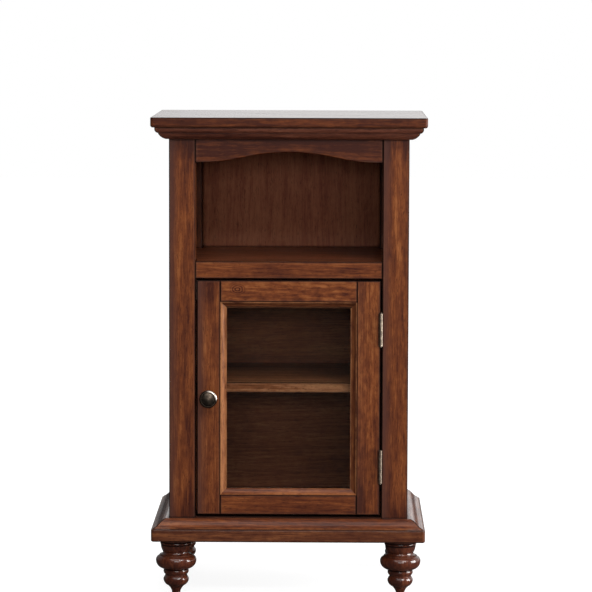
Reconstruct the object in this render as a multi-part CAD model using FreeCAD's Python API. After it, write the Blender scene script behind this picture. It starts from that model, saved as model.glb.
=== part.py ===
"""Storage side table: an open niche over a glazed door, on a moulded base with turned feet.

Millimetres, +Z up. The origin is on the floor under the middle of the top, and the front faces -Y.
"""

import FreeCAD, Part
import os

Vector = FreeCAD.Vector
SAME_PLACE = 1e-6

# Case and top
HEIGHT = 790.0
CASE_WIDTH = 392.0
CASE_DEPTH = 321.0
OVERHANG = 29.0
TOP_THICKNESS = 16.5
TOP_EDGE_RADIUS = 1.5
TOP_UNDER_RADIUS = 4.0
TOP_CORNER_RADIUS = 5.0

# Posts, rails and their joints
POST_WIDTH = 43.0
POST_DEPTH = 40.0
POST_EASE = 2.0
RAIL_THICKNESS = 22.0
RAIL_SETBACK = 1.2
FRIEZE_HEIGHT = 57.8
ARCH_RISE = 17.6
NICHE_HEIGHT = 161.7
MID_RAIL_HEIGHT = 28.0
SIDE_TOP_RAIL_HEIGHT = 50.0
SIDE_BOTTOM_RAIL_HEIGHT = 56.0
REAR_RAIL_HEIGHT = 50.0
TENON_THICKNESS = 8.0
TENON_LENGTH = 18.0
TENON_SHOULDER = 6.0
MORTISE_SLACK = 1.0
FIT = 0.15
EASE = 1.2

# Panels, floors and shelf
SIDE_PANEL_THICKNESS = 8.0
GROOVE_DEPTH = 9.0
PANEL_FLOAT = 1.0
BACK_THICKNESS = 6.0
BACK_RECESS = 2.0
BACK_REBATE = 10.0
BACK_MARGIN = 0.5
NICHE_FLOOR_THICKNESS = 18.0
BOARD_MARGIN = 0.4
BEARER_SIZE = 18.0
CLEAT_SIZE = 18.0
SHELF_RISE = 219.0
SHELF_THICKNESS = 17.5
SHELF_SETBACK = 30.0
SHELF_BACK_GAP = 6.0
SHELF_END_GAP = 1.0
PIN_RADIUS = 2.5
PIN_REACH = 8.0
PIN_DEPTH = 9.0
PIN_SETBACK = 35.0
PIN_FIT = 0.05

# Cornice moulding under the top
CORNICE_HEIGHT = 19.5
CORNICE_SETBACK = 6.5
CORNICE_FILLET = 2.4
CORNICE_BEAD = 6.5
BEAD_DRAW = 4.6
CORNICE_QUIRK = 1.2
OVOLO_LEAN = 0.55
CORNICE_FOOT = 4.2

# Base board and its ogee moulding
BASE_THICKNESS = 21.0
BASE_PROJECTION = 28.7
BASE_EDGE_RADIUS = 2.5
BASE_UNDER_RADIUS = 3.0
BASE_CORNER_RADIUS = 5.0
MOULDING_HEIGHT = 15.0
MOULDING_SETBACK = 3.2
MOULDING_FILLET = 1.0
MOULDING_LAND = 6.0
OGEE_FALL = 0.4
SILL_LIP = 2.3

# Turned feet, from the top down
FOOT_INSET = 39.7
COLLAR_RADIUS = 26.2
COLLAR_STRAIGHT = 5.0
COLLAR_BEAD = 4.0
BEAD_PROUD = 0.9
NECK_RADIUS = 21.6
NECK_DROP = 12.4
SHOULDER_RADIUS = 27.2
SHOULDER_DROP = 4.5
SHOULDER_STEP = 1.3
BULB_RADIUS = 33.4
BULB_UPPER = 8.3
WAIST_RADIUS = 19.2
BULB_LOWER = 14.2
RING_RADIUS = 20.8
RING_HEIGHT = 9.5
GROOVE_RADIUS = 18.0
GROOVE_HEIGHT = 2.0
VASE_RADIUS = 21.0
VASE_HEIGHT = 5.5
TOE_RADIUS = 6.8
TAPER_HEIGHT = 22.0
PAD_RADIUS = 9.0
PAD_HEIGHT = 3.0
GLIDE_RADIUS = 8.5
GLIDE_THICKNESS = 3.0
GLIDE_STEM_RADIUS = 2.0
GLIDE_STEM_LENGTH = 14.0
BOLT_RADIUS = 4.0
BOLT_IN_FOOT = 30.0
BOLT_IN_BASE = 15.0
BOLT_FIT = 0.05

# Door
DOOR_THICKNESS = 20.0
DOOR_SIDE_GAP = 3.0
DOOR_TOP_GAP = 3.0
DOOR_BOTTOM_GAP = 3.5
STILE_WIDTH = 38.0
TOP_RAIL_WIDTH = 35.0
BOTTOM_RAIL_WIDTH = 32.5
DOOR_TENON_LENGTH = 24.0
DOOR_TENON_THICKNESS = 7.0
BEVEL_WIDTH = 10.5
BEVEL_DEPTH = 10.0
BEVEL_STEP = 1.0
BEVEL_LAND = 1.6
BEVEL_SILL = 1.8
BEVEL_LIP = 2.6
COVE_LEAN = 0.5
GLASS_THICKNESS = 4.0
GLASS_MARGIN = 1.0
BEAD_WIDTH = 9.0
BEAD_ROUND = 2.5

# Knob, from the door face outwards
ROSE_RADIUS = 9.0
ROSE_HEIGHT = 2.0
STEM_RADIUS = 5.6
STEM_HEIGHT = 11.0
HEAD_RADIUS = 14.6
HEAD_FLARE = 6.0
FLARE_LEAN = 0.3
HEAD_RIM = 3.5
RIM_LEAN = 0.2
RIM_STEP = 1.5
DOME_RADIUS = 11.5
DOME_HEIGHT = 3.0
KNOB_SCREW_RADIUS = 2.0
KNOB_SCREW_HEAD_RADIUS = 4.4
KNOB_SCREW_HEAD_HEIGHT = 2.6
KNOB_SCREW_GRIP = 10.0
SCREW_FIT = 0.05

# Butt hinges
HINGE_LENGTH = 54.0
HINGE_INSET = 53.0
HINGE_PROUD = 2.5
HINGE_OFFSET = 0.6
LEAF_WIDTH = 16.0
LEAF_THICKNESS = 1.2
BARREL_RADIUS = 3.25
HINGE_PIN_RADIUS = 1.5
HINGE_PIN_FIT = 0.05
PIN_TIP_RADIUS = 2.2
PIN_TIP_HEIGHT = 1.0
KNUCKLES = 5
KNUCKLE_GAP = 0.3
BARREL_RELIEF = 0.4

# Magnetic catch
CATCH_REACH = 14.0
CATCH_DEPTH = 15.0
CATCH_LENGTH = 32.0
CATCH_DROP = 2.0
CATCH_ROUND = 1.5
MAGNET_WIDTH = 8.0
MAGNET_DEPTH = 7.0
MAGNET_LENGTH = 18.0
MAGNET_PROUD = 0.3
STRIKE_WIDTH = 9.0
STRIKE_INSET = 0.5
STRIKE_LENGTH = 22.0
STRIKE_THICKNESS = 1.2
STRIKE_GAP = 0.3
STRIKE_SHANK_RADIUS = 1.5
STRIKE_SHANK_LENGTH = 9.0

# Places that follow from the sizes above
case_x = CASE_WIDTH / 2
inner_x = case_x - POST_WIDTH
front_y = OVERHANG - (CASE_DEPTH + OVERHANG) / 2
back_y = front_y + CASE_DEPTH
rail_y = front_y + RAIL_SETBACK
rail_back_y = rail_y + RAIL_THICKNESS
rail_middle_y = (rail_y + rail_back_y) / 2
post_front_y = front_y + POST_DEPTH
post_rear_y = back_y - POST_DEPTH
top_z = HEIGHT - TOP_THICKNESS
foot_height = (COLLAR_STRAIGHT + COLLAR_BEAD + NECK_DROP + SHOULDER_DROP + SHOULDER_STEP + BULB_UPPER
               + BULB_LOWER + RING_HEIGHT + GROOVE_HEIGHT + VASE_HEIGHT + TAPER_HEIGHT + PAD_HEIGHT)
base_z = GLIDE_THICKNESS + foot_height
case_z = base_z + BASE_THICKNESS
floor_z = case_z + MOULDING_HEIGHT + SILL_LIP
frieze_z = top_z - FRIEZE_HEIGHT
niche_z = frieze_z - NICHE_HEIGHT
mid_z = niche_z - MID_RAIL_HEIGHT
side_rail_x = case_x - RAIL_THICKNESS
panel_x = case_x - (RAIL_THICKNESS + SIDE_PANEL_THICKNESS) / 2
back_panel_y = back_y - BACK_RECESS - BACK_THICKNESS
side_top_z = top_z - SIDE_TOP_RAIL_HEIGHT
side_bottom_z = case_z + SIDE_BOTTOM_RAIL_HEIGHT
shelf_z = floor_z + SHELF_RISE - SHELF_THICKNESS
door_x = inner_x - DOOR_SIDE_GAP
door_back_y = front_y + DOOR_THICKNESS
door_top_z = mid_z - DOOR_TOP_GAP
door_bottom_z = floor_z + DOOR_BOTTOM_GAP
light_x = door_x - STILE_WIDTH
light_top_z = door_top_z - TOP_RAIL_WIDTH
light_bottom_z = door_bottom_z + BOTTOM_RAIL_WIDTH
knob_x = (STILE_WIDTH / 2) - door_x
knob_z = (door_bottom_z + door_top_z) / 2
hinge_x = door_x + HINGE_OFFSET
hinge_y = front_y - HINGE_PROUD
hinge_bottoms = {"upper": door_top_z - HINGE_INSET - HINGE_LENGTH, "lower": door_bottom_z + HINGE_INSET}
catch_z = door_top_z - CATCH_DROP - CATCH_LENGTH / 2
strike_x = STRIKE_WIDTH / 2 + STRIKE_INSET - door_x
strike_y = door_back_y + STRIKE_THICKNESS


def box(x, y, z):
    """A block between pairs of limits along each axis."""
    size = [abs(limits[1] - limits[0]) for limits in (x, y, z)]
    return Part.makeBox(*size, Vector(min(x), min(y), min(z)))


def mirrored(shape):
    """The opposite hand of a piece, across the middle plane of the table."""
    return shape.mirror(Vector(0, 0, 0), Vector(1, 0, 0))


def edges_on(shape, axis, place):
    """The edges of a piece that lie in the plane where one coordinate has the given value."""
    def lies_in(edge):
        return all(abs(getattr(vertex.Point, axis) - place) < SAME_PLACE for vertex in edge.Vertexes)
    return [edge for edge in shape.Edges if lies_in(edge)]


def upright_edges(shape):
    """The straight vertical edges of a piece."""
    up = Vector(0, 0, 1)
    return [edge for edge in shape.Edges
            if edge.tangentAt(edge.FirstParameter).cross(up).Length < SAME_PLACE]


def outline(place, start, steps):
    """A closed face from lines (one point per step) and arcs (two points per step).

    place turns a pair of profile coordinates into a point in space.
    """
    edges = []
    here = start
    for step in list(steps) + [(start,)]:
        end = step[-1]
        if len(step) == 1:
            edges.append(Part.LineSegment(place(here), place(end)).toShape())
        else:
            edges.append(Part.Arc(place(here), place(step[0]), place(end)).toShape())
        here = end
    return Part.Face(Part.Wire(edges))


def leaving(start, heading, end):
    """An arc step that leaves start along heading and stops at end."""
    begin = Vector(*start, 0)
    chord = Vector(*end, 0) - begin
    course = Vector(*heading, 0).normalize()
    along = Vector(chord).normalize()
    across = course - along * course.dot(along)
    rise = chord.Length / 2 * across.Length / (1 + course.dot(along))
    middle = begin + chord * 0.5 + across.normalize() * rise
    return (middle.x, middle.y), end


def reverse_curve(start, heading, end):
    """Two arc steps that make an S from start to end, with the same heading at both ends."""
    centre = ((start[0] + end[0]) / 2, (start[1] + end[1]) / 2)
    first = leaving(start, heading, centre)
    second = (start[0] + end[0] - first[0][0], start[1] + end[1] - first[0][1])
    return [first, (second, end)]


def turned(start, steps):
    """A solid of revolution about Z from a profile of radius and height."""
    profile = outline(lambda point: Vector(point[0], 0, point[1]), start, steps)
    return profile.revolve(Vector(0, 0, 0), Vector(0, 0, 1), 360)


def rod(radius, start, direction, length):
    """A plain round bar from a point along a direction."""
    return Part.makeCylinder(radius, length, start, direction)


def plan_block(points, bottom, top):
    """An upright block over a polygon in plan."""
    corners = [Vector(x, y, bottom) for x, y in points]
    return Part.Face(Part.makePolygon(corners + corners[:1])).extrude(Vector(0, 0, top - bottom))


def mitred_strips(profile, reach, bottom, top):
    """Front and right strips of a moulding round the case, mitred at the front corners.

    profile makes the face in outward distance and height, through a function that places its points.
    """
    front = profile(lambda point: Vector(-case_x - reach, front_y - point[0], point[1]))
    front = front.extrude(Vector(CASE_WIDTH + 2 * reach, 0, 0))
    side = profile(lambda point: Vector(case_x + point[0], front_y - reach, point[1]))
    side = side.extrude(Vector(0, CASE_DEPTH + reach, 0))
    corner = (case_x + reach, front_y - reach)
    front_plan = [(-case_x, front_y), (case_x, front_y), corner, (-corner[0], corner[1])]
    side_plan = [(case_x, front_y), (case_x, back_y), (corner[0], back_y), corner]
    return front.common(plan_block(front_plan, bottom, top)), side.common(plan_block(side_plan, bottom, top))


def rounded_board(board, corner_radius, rim_radii):
    """A board with its front corners rounded, then its rims, back edge apart, by a radius for each level."""
    corners = [edge for edge in upright_edges(board) if edge.CenterOfMass.y < 0]
    board = board.makeFillet(corner_radius, corners)
    for level, radius in rim_radii.items():
        rim = [edge for edge in edges_on(board, "z", level) if edge.CenterOfMass.y < back_y - SAME_PLACE]
        board = board.makeFillet(radius, rim)
    return board


def top_panel():
    """Top board with a crisp upper edge and a rounder lower one on the front and the two ends."""
    width = case_x + OVERHANG
    board = box((-width, width), (front_y - OVERHANG, back_y), (top_z, HEIGHT))
    return rounded_board(board, TOP_CORNER_RADIUS, {HEIGHT: TOP_EDGE_RADIUS, top_z: TOP_UNDER_RADIUS})


def cornice():
    """Bead, quirk and ovolo under the top: front and right strips."""
    reach = OVERHANG - CORNICE_SETBACK
    bottom = top_z - CORNICE_HEIGHT
    fillet = (reach, top_z - CORNICE_FILLET)
    bead = (reach - BEAD_DRAW, fillet[1] - CORNICE_BEAD)
    ovolo = (bead[0] - CORNICE_QUIRK, bead[1] - CORNICE_QUIRK)

    def profile(place):
        steps = [((reach, top_z),), (fillet,), leaving(fillet, (0, -1), bead),
                 ((ovolo[0], bead[1]),), (ovolo,),
                 leaving(ovolo, (-OVOLO_LEAN, -1), (CORNICE_FOOT, bottom)), ((0, bottom),)]
        return outline(place, (0, top_z), steps)

    return mitred_strips(profile, reach, bottom, top_z)


def base_moulding():
    """Ogee on the base board, round the foot of the case: front and right strips."""
    reach = BASE_PROJECTION - MOULDING_SETBACK
    top = case_z + MOULDING_HEIGHT
    toe = (reach, case_z + MOULDING_FILLET)
    land = (MOULDING_LAND, top)

    def profile(place):
        ogee = reverse_curve(land, (1, -OGEE_FALL), toe)
        return outline(place, (0, top), [(land,)] + ogee + [((reach, case_z),), ((0, case_z),)])

    return mitred_strips(profile, reach, case_z, top)


def base_board():
    """Board under the case that carries the feet, with holes for their bolts."""
    width = case_x + BASE_PROJECTION
    board = box((-width, width), (front_y - BASE_PROJECTION, back_y), (base_z, case_z))
    board = rounded_board(board, BASE_CORNER_RADIUS, {case_z: BASE_EDGE_RADIUS, base_z: BASE_UNDER_RADIUS})
    for place in foot_places().values():
        board = board.cut(rod(BOLT_RADIUS + BOLT_FIT, place, Vector(0, 0, 1), BOLT_IN_BASE + BOLT_FIT))
    return board


def foot_places():
    """Where the top of each foot meets the base board."""
    x = case_x + BASE_PROJECTION - FOOT_INSET
    rows = {"front": front_y - BASE_PROJECTION + FOOT_INSET, "rear": back_y - FOOT_INSET}
    sides = {"left": -x, "right": x}
    return {f"{row}_{side}": Vector(sides[side], y, base_z) for row, y in rows.items() for side in sides}


def foot():
    """Turned foot with its top at the origin: beaded collar, shouldered bulb, ring, vase and thin toe."""
    bead_z = -COLLAR_STRAIGHT - COLLAR_BEAD
    neck_z = bead_z - NECK_DROP
    shoulder_z = neck_z - SHOULDER_DROP
    bulb_top_z = shoulder_z - SHOULDER_STEP
    bulb_z = bulb_top_z - BULB_UPPER
    waist_z = bulb_z - BULB_LOWER
    ring_z = waist_z - RING_HEIGHT
    groove_z = ring_z - GROOVE_HEIGHT
    vase_z = groove_z - VASE_HEIGHT
    toe_z = vase_z - TAPER_HEIGHT
    collar = (COLLAR_RADIUS - BEAD_PROUD, -COLLAR_STRAIGHT)
    bead = (COLLAR_RADIUS - BEAD_PROUD, bead_z)
    neck = (NECK_RADIUS, neck_z)
    shoulder = (SHOULDER_RADIUS, shoulder_z)
    bulb = (BULB_RADIUS, bulb_z)
    waist = (WAIST_RADIUS, waist_z)
    vase = (VASE_RADIUS, vase_z)
    bulb_arc, _ = leaving(bulb, (0, 1), (SHOULDER_RADIUS, bulb_top_z))
    taper = ((VASE_RADIUS + TOE_RADIUS) / 2, vase_z - TAPER_HEIGHT / 2)
    profile = [
        ((COLLAR_RADIUS, 0),),
        (collar,),
        ((COLLAR_RADIUS, bead_z + COLLAR_BEAD / 2), bead),
        leaving(bead, (0, -1), neck),
        leaving(neck, (0, -1), shoulder),
        ((SHOULDER_RADIUS, bulb_top_z),),
        (bulb_arc, bulb),
        leaving(bulb, (0, -1), waist),
        ((RING_RADIUS, waist_z - RING_HEIGHT / 2), (GROOVE_RADIUS, ring_z)),
        ((GROOVE_RADIUS, groove_z),),
        leaving((GROOVE_RADIUS, groove_z), (1, -1), vase),
        leaving(vase, (0, -1), taper),
        leaving(taper, (TOE_RADIUS - VASE_RADIUS, -TAPER_HEIGHT / 2), (TOE_RADIUS, toe_z)),
        leaving((TOE_RADIUS, toe_z), (0, -1), (PAD_RADIUS, -foot_height)),
        ((0, -foot_height),),
    ]
    body = turned((0, 0), profile)
    bolt_hole = rod(BOLT_RADIUS + BOLT_FIT, Vector(0, 0, 0), Vector(0, 0, -1), BOLT_IN_FOOT + BOLT_FIT)
    stem_hole = rod(GLIDE_STEM_RADIUS + BOLT_FIT, Vector(0, 0, -foot_height), Vector(0, 0, 1),
                    GLIDE_STEM_LENGTH + BOLT_FIT)
    return body.cut(bolt_hole).cut(stem_hole)


def foot_bolt():
    """Hanger bolt between a foot and the base board, centred on their joint."""
    return rod(BOLT_RADIUS, Vector(0, 0, -BOLT_IN_FOOT), Vector(0, 0, 1), BOLT_IN_FOOT + BOLT_IN_BASE)


def foot_glide():
    """Nail-in glide with its disc under the toe, placed from the top of the foot."""
    under = -foot_height - GLIDE_THICKNESS
    disc = rod(GLIDE_RADIUS, Vector(0, 0, under), Vector(0, 0, 1), GLIDE_THICKNESS)
    stem = rod(GLIDE_STEM_RADIUS, Vector(0, 0, -foot_height), Vector(0, 0, 1), GLIDE_STEM_LENGTH)
    return disc.fuse(stem).removeSplitter()


def eased_post(y):
    """Square bar from the base board to the top, with rounded corners, on the right side."""
    post = box((inner_x, case_x), y, (case_z, top_z))
    return post.makeFillet(POST_EASE, upright_edges(post))


def across_tenon(y_middle, bottom, top, growth=0.0, slack=0.0):
    """Tenon, or with growth and slack its mortise, that enters the right post from between the posts."""
    half = TENON_THICKNESS / 2 + growth
    return box((inner_x, inner_x + TENON_LENGTH + slack), (y_middle - half, y_middle + half),
               (bottom + TENON_SHOULDER - growth, top - TENON_SHOULDER + growth))


def side_tenon(post_y, way, bottom, top, growth=0.0, slack=0.0):
    """Tenon, or its mortise, of a side rail that enters a post from its inner face along Y."""
    middle = (side_rail_x + case_x) / 2
    half = TENON_THICKNESS / 2 + growth
    return box((middle - half, middle + half), (post_y, post_y + way * (TENON_LENGTH + slack)),
               (bottom + TENON_SHOULDER - growth, top - TENON_SHOULDER + growth))


def side_sockets(post_y, way):
    """Mortises for the two side rails and the groove for the side panel in one post."""
    panel_groove = box((panel_x - FIT, panel_x + SIDE_PANEL_THICKNESS + FIT),
                       (post_y, post_y + way * GROOVE_DEPTH), (case_z, top_z))
    upper = side_tenon(post_y, way, side_top_z, top_z, FIT, MORTISE_SLACK)
    lower = side_tenon(post_y, way, case_z, side_bottom_z, FIT, MORTISE_SLACK)
    return [panel_groove, upper, lower]


def shelf_pin_places():
    """Where each shelf pin enters its post, on the right side."""
    height = shelf_z - PIN_RADIUS
    return [Vector(inner_x, front_y + PIN_SETBACK, height), Vector(inner_x, back_y - PIN_SETBACK, height)]


def pin_hole(place):
    """Blind hole for one shelf pin in the right posts."""
    return rod(PIN_RADIUS + PIN_FIT, place, Vector(1, 0, 0), PIN_DEPTH + PIN_FIT)


def front_post():
    """Right front post, mortised for the frieze, the middle rail and the side frame."""
    post = eased_post((front_y, post_front_y))
    cuts = side_sockets(post_front_y, -1)
    cuts.append(across_tenon(rail_middle_y, frieze_z, top_z, FIT, MORTISE_SLACK))
    cuts.append(across_tenon(rail_middle_y, mid_z, niche_z, FIT, MORTISE_SLACK))
    cuts.append(pin_hole(shelf_pin_places()[0]))
    return post.cut(cuts)


def rear_post():
    """Right rear post, mortised for the rear rail and the side frame and rebated for the back panel."""
    post = eased_post((post_rear_y, back_y))
    cuts = side_sockets(post_rear_y, 1)
    cuts.append(across_tenon(back_panel_y - RAIL_THICKNESS / 2, top_z - REAR_RAIL_HEIGHT, top_z,
                             FIT, MORTISE_SLACK))
    cuts.append(pin_hole(shelf_pin_places()[1]))
    cuts.append(box((inner_x, inner_x + BACK_REBATE), (back_panel_y, back_y), (case_z, top_z)))
    return post.cut(cuts)


def hinged_post(post):
    """The right front post with gains for the hinge leaves and relief for their barrels."""
    for bottom in hinge_bottoms.values():
        post = post.cut(leaf_plate(inner_x, 1, bottom, FIT)).cut(barrel_relief(bottom))
    return post


def with_tenons(rail, right_tenon):
    """A rail between the posts with the same tenon at both ends."""
    return rail.fuse([right_tenon, mirrored(right_tenon)]).removeSplitter()


def frieze_rail():
    """Rail under the top with a serpentine arch along its lower edge."""
    start = (-inner_x, frieze_z)
    crown = (0, frieze_z + ARCH_RISE)
    end = (inner_x, frieze_z)
    steps = reverse_curve(start, (1, 0), crown) + reverse_curve(crown, (1, 0), end)
    steps += [((inner_x, top_z),), ((-inner_x, top_z),)]
    face = outline(lambda point: Vector(point[0], rail_y, point[1]), start, steps)
    rail = face.extrude(Vector(0, RAIL_THICKNESS, 0))
    rail = rail.makeFillet(EASE, edges_on(rail, "y", rail_y))
    return with_tenons(rail, across_tenon(rail_middle_y, frieze_z, top_z))


def mid_rail():
    """Rail between the niche and the door."""
    rail = box((-inner_x, inner_x), (rail_y, rail_back_y), (mid_z, niche_z))
    rail = rail.makeFillet(EASE, edges_on(rail, "y", rail_y))
    return with_tenons(rail, across_tenon(rail_middle_y, mid_z, niche_z))


def rear_top_rail():
    """Rail between the rear posts, in front of the back panel."""
    bottom = top_z - REAR_RAIL_HEIGHT
    rail = box((-inner_x, inner_x), (back_panel_y - RAIL_THICKNESS, back_panel_y), (bottom, top_z))
    return with_tenons(rail, across_tenon(back_panel_y - RAIL_THICKNESS / 2, bottom, top_z))


def side_rail(bottom, top, groove_z, way):
    """Right side rail with tenons into the posts and a groove, tenons included, in the edge at the panel."""
    rail = box((side_rail_x, case_x), (post_front_y, post_rear_y), (bottom, top))
    rail = rail.makeFillet(EASE, edges_on(rail, "x", case_x))
    groove = box((panel_x - FIT, panel_x + SIDE_PANEL_THICKNESS + FIT),
                 (post_front_y - TENON_LENGTH, post_rear_y + TENON_LENGTH),
                 (groove_z, groove_z + way * GROOVE_DEPTH))
    tenons = [side_tenon(post_front_y, -1, bottom, top), side_tenon(post_rear_y, 1, bottom, top)]
    return rail.fuse(tenons).removeSplitter().cut(groove)


def side_panel():
    """Flat right side panel that floats in the grooves of its frame."""
    reach = GROOVE_DEPTH - PANEL_FLOAT
    return box((panel_x, panel_x + SIDE_PANEL_THICKNESS), (post_front_y - reach, post_rear_y + reach),
               (side_bottom_z - reach, side_top_z + reach))


def back_panel():
    """Sheet in the rebates of the rear posts, from the base board to the top."""
    width = inner_x + BACK_REBATE - BACK_MARGIN
    return box((-width, width), (back_panel_y, back_panel_y + BACK_THICKNESS), (case_z, top_z - BACK_MARGIN))


def notched_board(front, end_x, bottom, top):
    """Board between the posts that reaches past them to the sides, with its notches clear of the posts."""
    narrow = inner_x - BOARD_MARGIN
    wide = end_x - BOARD_MARGIN
    near = post_front_y + BOARD_MARGIN
    far = post_rear_y - BOARD_MARGIN
    half = [(narrow, front), (narrow, near), (wide, near), (wide, far), (narrow, far),
            (narrow, back_panel_y)]
    return plan_block(half + [(-x, y) for x, y in reversed(half)], bottom, top)


def niche_floor():
    """Board behind the middle rail, level with its top."""
    return notched_board(rail_back_y, panel_x, niche_z - NICHE_FLOOR_THICKNESS, niche_z)


def niche_bearer():
    """Strip on the right that carries the niche floor between the posts."""
    outer = panel_x - BOARD_MARGIN
    top = niche_z - NICHE_FLOOR_THICKNESS
    return box((outer - BEARER_SIZE, outer), (post_front_y, post_rear_y), (top - BEARER_SIZE, top))


def top_cleat():
    """Strip inside the right top rail that holds the top."""
    return box((side_rail_x - CLEAT_SIZE, side_rail_x), (post_front_y, post_rear_y),
               (top_z - CLEAT_SIZE, top_z))


def cabinet_floor():
    """Board on the base board, flush with the front of the posts behind the base moulding."""
    return notched_board(front_y, side_rail_x, case_z, floor_z)


def inner_shelf():
    """Shelf behind the glass, between the posts on four pins."""
    width = inner_x - SHELF_END_GAP
    shelf = box((-width, width), (front_y + SHELF_SETBACK, back_panel_y - SHELF_BACK_GAP),
                (shelf_z, shelf_z + SHELF_THICKNESS))
    return shelf.makeFillet(EASE, edges_on(shelf, "y", front_y + SHELF_SETBACK))


def shelf_pins():
    """Four round pins in the posts under the shelf."""
    right = [rod(PIN_RADIUS, place - Vector(PIN_REACH, 0, 0), Vector(1, 0, 0), PIN_REACH + PIN_DEPTH)
             for place in shelf_pin_places()]
    return Part.makeCompound(right + [mirrored(pin) for pin in right])


def door_stile():
    """Right door stile with its two mortises."""
    stile = box((light_x, door_x), (front_y, door_back_y), (door_bottom_z, door_top_z))
    stile = stile.makeFillet(EASE, edges_on(stile, "y", front_y))
    for bottom, top in door_rail_limits():
        stile = stile.cut(door_tenon(bottom, top, FIT, MORTISE_SLACK))
    return stile


def door_rail_limits():
    """Bottom and top of the lower and of the upper door rail."""
    return [(door_bottom_z, light_bottom_z), (light_top_z, door_top_z)]


def door_tenon(bottom, top, growth=0.0, slack=0.0):
    """Tenon of a door rail, or its mortise, in the right stile."""
    middle = (front_y + door_back_y) / 2
    half = DOOR_TENON_THICKNESS / 2 + growth
    return box((light_x, light_x + DOOR_TENON_LENGTH + slack), (middle - half, middle + half),
               (bottom + TENON_SHOULDER - growth, top - TENON_SHOULDER + growth))


def door_rail(bottom, top):
    """Door rail between the stiles with a tenon at each end."""
    rail = box((-light_x, light_x), (front_y, door_back_y), (bottom, top))
    rail = rail.makeFillet(EASE, edges_on(rail, "y", front_y))
    return with_tenons(rail, door_tenon(bottom, top))


def hinged_stile(stile):
    """The right stile with gains for the hinge leaves and relief for their barrels."""
    for bottom in hinge_bottoms.values():
        stile = stile.cut(leaf_plate(door_x, -1, bottom, FIT)).cut(barrel_relief(bottom))
    return stile


def knob_stile(stile):
    """The left stile with a hole for the knob screw and one for the shank of the strike."""
    screw_hole = rod(KNOB_SCREW_RADIUS + SCREW_FIT, Vector(knob_x, front_y, knob_z), Vector(0, 1, 0),
                     DOOR_THICKNESS)
    shank_hole = rod(STRIKE_SHANK_RADIUS + SCREW_FIT, Vector(strike_x, door_back_y, catch_z),
                     Vector(0, -1, 0), STRIKE_SHANK_LENGTH + SCREW_FIT)
    return stile.cut(screw_hole).cut(shank_hole)


def light_strips(profile, reach):
    """Left, right, bottom and top strips round the glass, mitred at the corners.

    profile makes the face in distance inwards from the door frame and depth behind the door face.
    """
    tall = light_top_z - light_bottom_z
    right = profile(lambda point: Vector(light_x - point[0], front_y + point[1], light_bottom_z))
    right = right.extrude(Vector(0, 0, tall))
    bottom = profile(lambda point: Vector(-light_x, front_y + point[1], light_bottom_z + point[0]))
    bottom = bottom.extrude(Vector(2 * light_x, 0, 0))
    top = profile(lambda point: Vector(-light_x, front_y + point[1], light_top_z - point[0]))
    top = top.extrude(Vector(2 * light_x, 0, 0))

    def mitre(corners):
        points = [Vector(x, front_y, z) for x, z in corners]
        return Part.Face(Part.makePolygon(points + points[:1])).extrude(Vector(0, DOOR_THICKNESS, 0))

    inset_x = light_x - reach
    low = (light_bottom_z, light_bottom_z + reach)
    high = (light_top_z, light_top_z - reach)
    right_plan = [(light_x, low[0]), (light_x, high[0]), (inset_x, high[1]), (inset_x, low[1])]
    bottom_plan = [(-light_x, low[0]), (light_x, low[0]), (inset_x, low[1]), (-inset_x, low[1])]
    top_plan = [(-light_x, high[0]), (light_x, high[0]), (inset_x, high[1]), (-inset_x, high[1])]
    right = right.common(mitre(right_plan))
    bottom = bottom.common(mitre(bottom_plan))
    top = top.common(mitre(top_plan))
    return {"left": mirrored(right), "right": right, "bottom": bottom, "top": top}


def glazing_bevels():
    """Strips with a hollow slope from the door frame down to a narrow sill at the glass."""
    land = (BEVEL_LAND, BEVEL_STEP)
    sill = (BEVEL_WIDTH - BEVEL_SILL, BEVEL_DEPTH - BEVEL_LIP)

    def profile(place):
        steps = [(land,), leaving(land, (COVE_LEAN, 1), sill), ((BEVEL_WIDTH, sill[1]),),
                 ((BEVEL_WIDTH, BEVEL_DEPTH),), ((0, BEVEL_DEPTH),)]
        return outline(place, (0, BEVEL_STEP), steps)
    return light_strips(profile, BEVEL_WIDTH)


def glass_beads():
    """Strips behind the glass, flush with the back of the door."""
    near = BEVEL_DEPTH + GLASS_THICKNESS

    def profile(place):
        turn = (BEAD_WIDTH, DOOR_THICKNESS - BEAD_ROUND)
        steps = [((BEAD_WIDTH, near),), (turn,),
                 leaving(turn, (0, 1), (BEAD_WIDTH - BEAD_ROUND, DOOR_THICKNESS)), ((0, DOOR_THICKNESS),)]
        return outline(place, (0, near), steps)
    return light_strips(profile, BEAD_WIDTH)


def glass_pane():
    """Flat pane held between the bevels and the beads."""
    width = light_x - GLASS_MARGIN
    near = front_y + BEVEL_DEPTH
    return box((-width, width), (near, near + GLASS_THICKNESS),
               (light_bottom_z + GLASS_MARGIN, light_top_z - GLASS_MARGIN))


def on_door_face(shape):
    """A piece turned about Z, laid so that it points out of the door at the knob."""
    shape.rotate(Vector(0, 0, 0), Vector(1, 0, 0), 90)
    shape.translate(Vector(knob_x, front_y, knob_z))
    return shape


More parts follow.
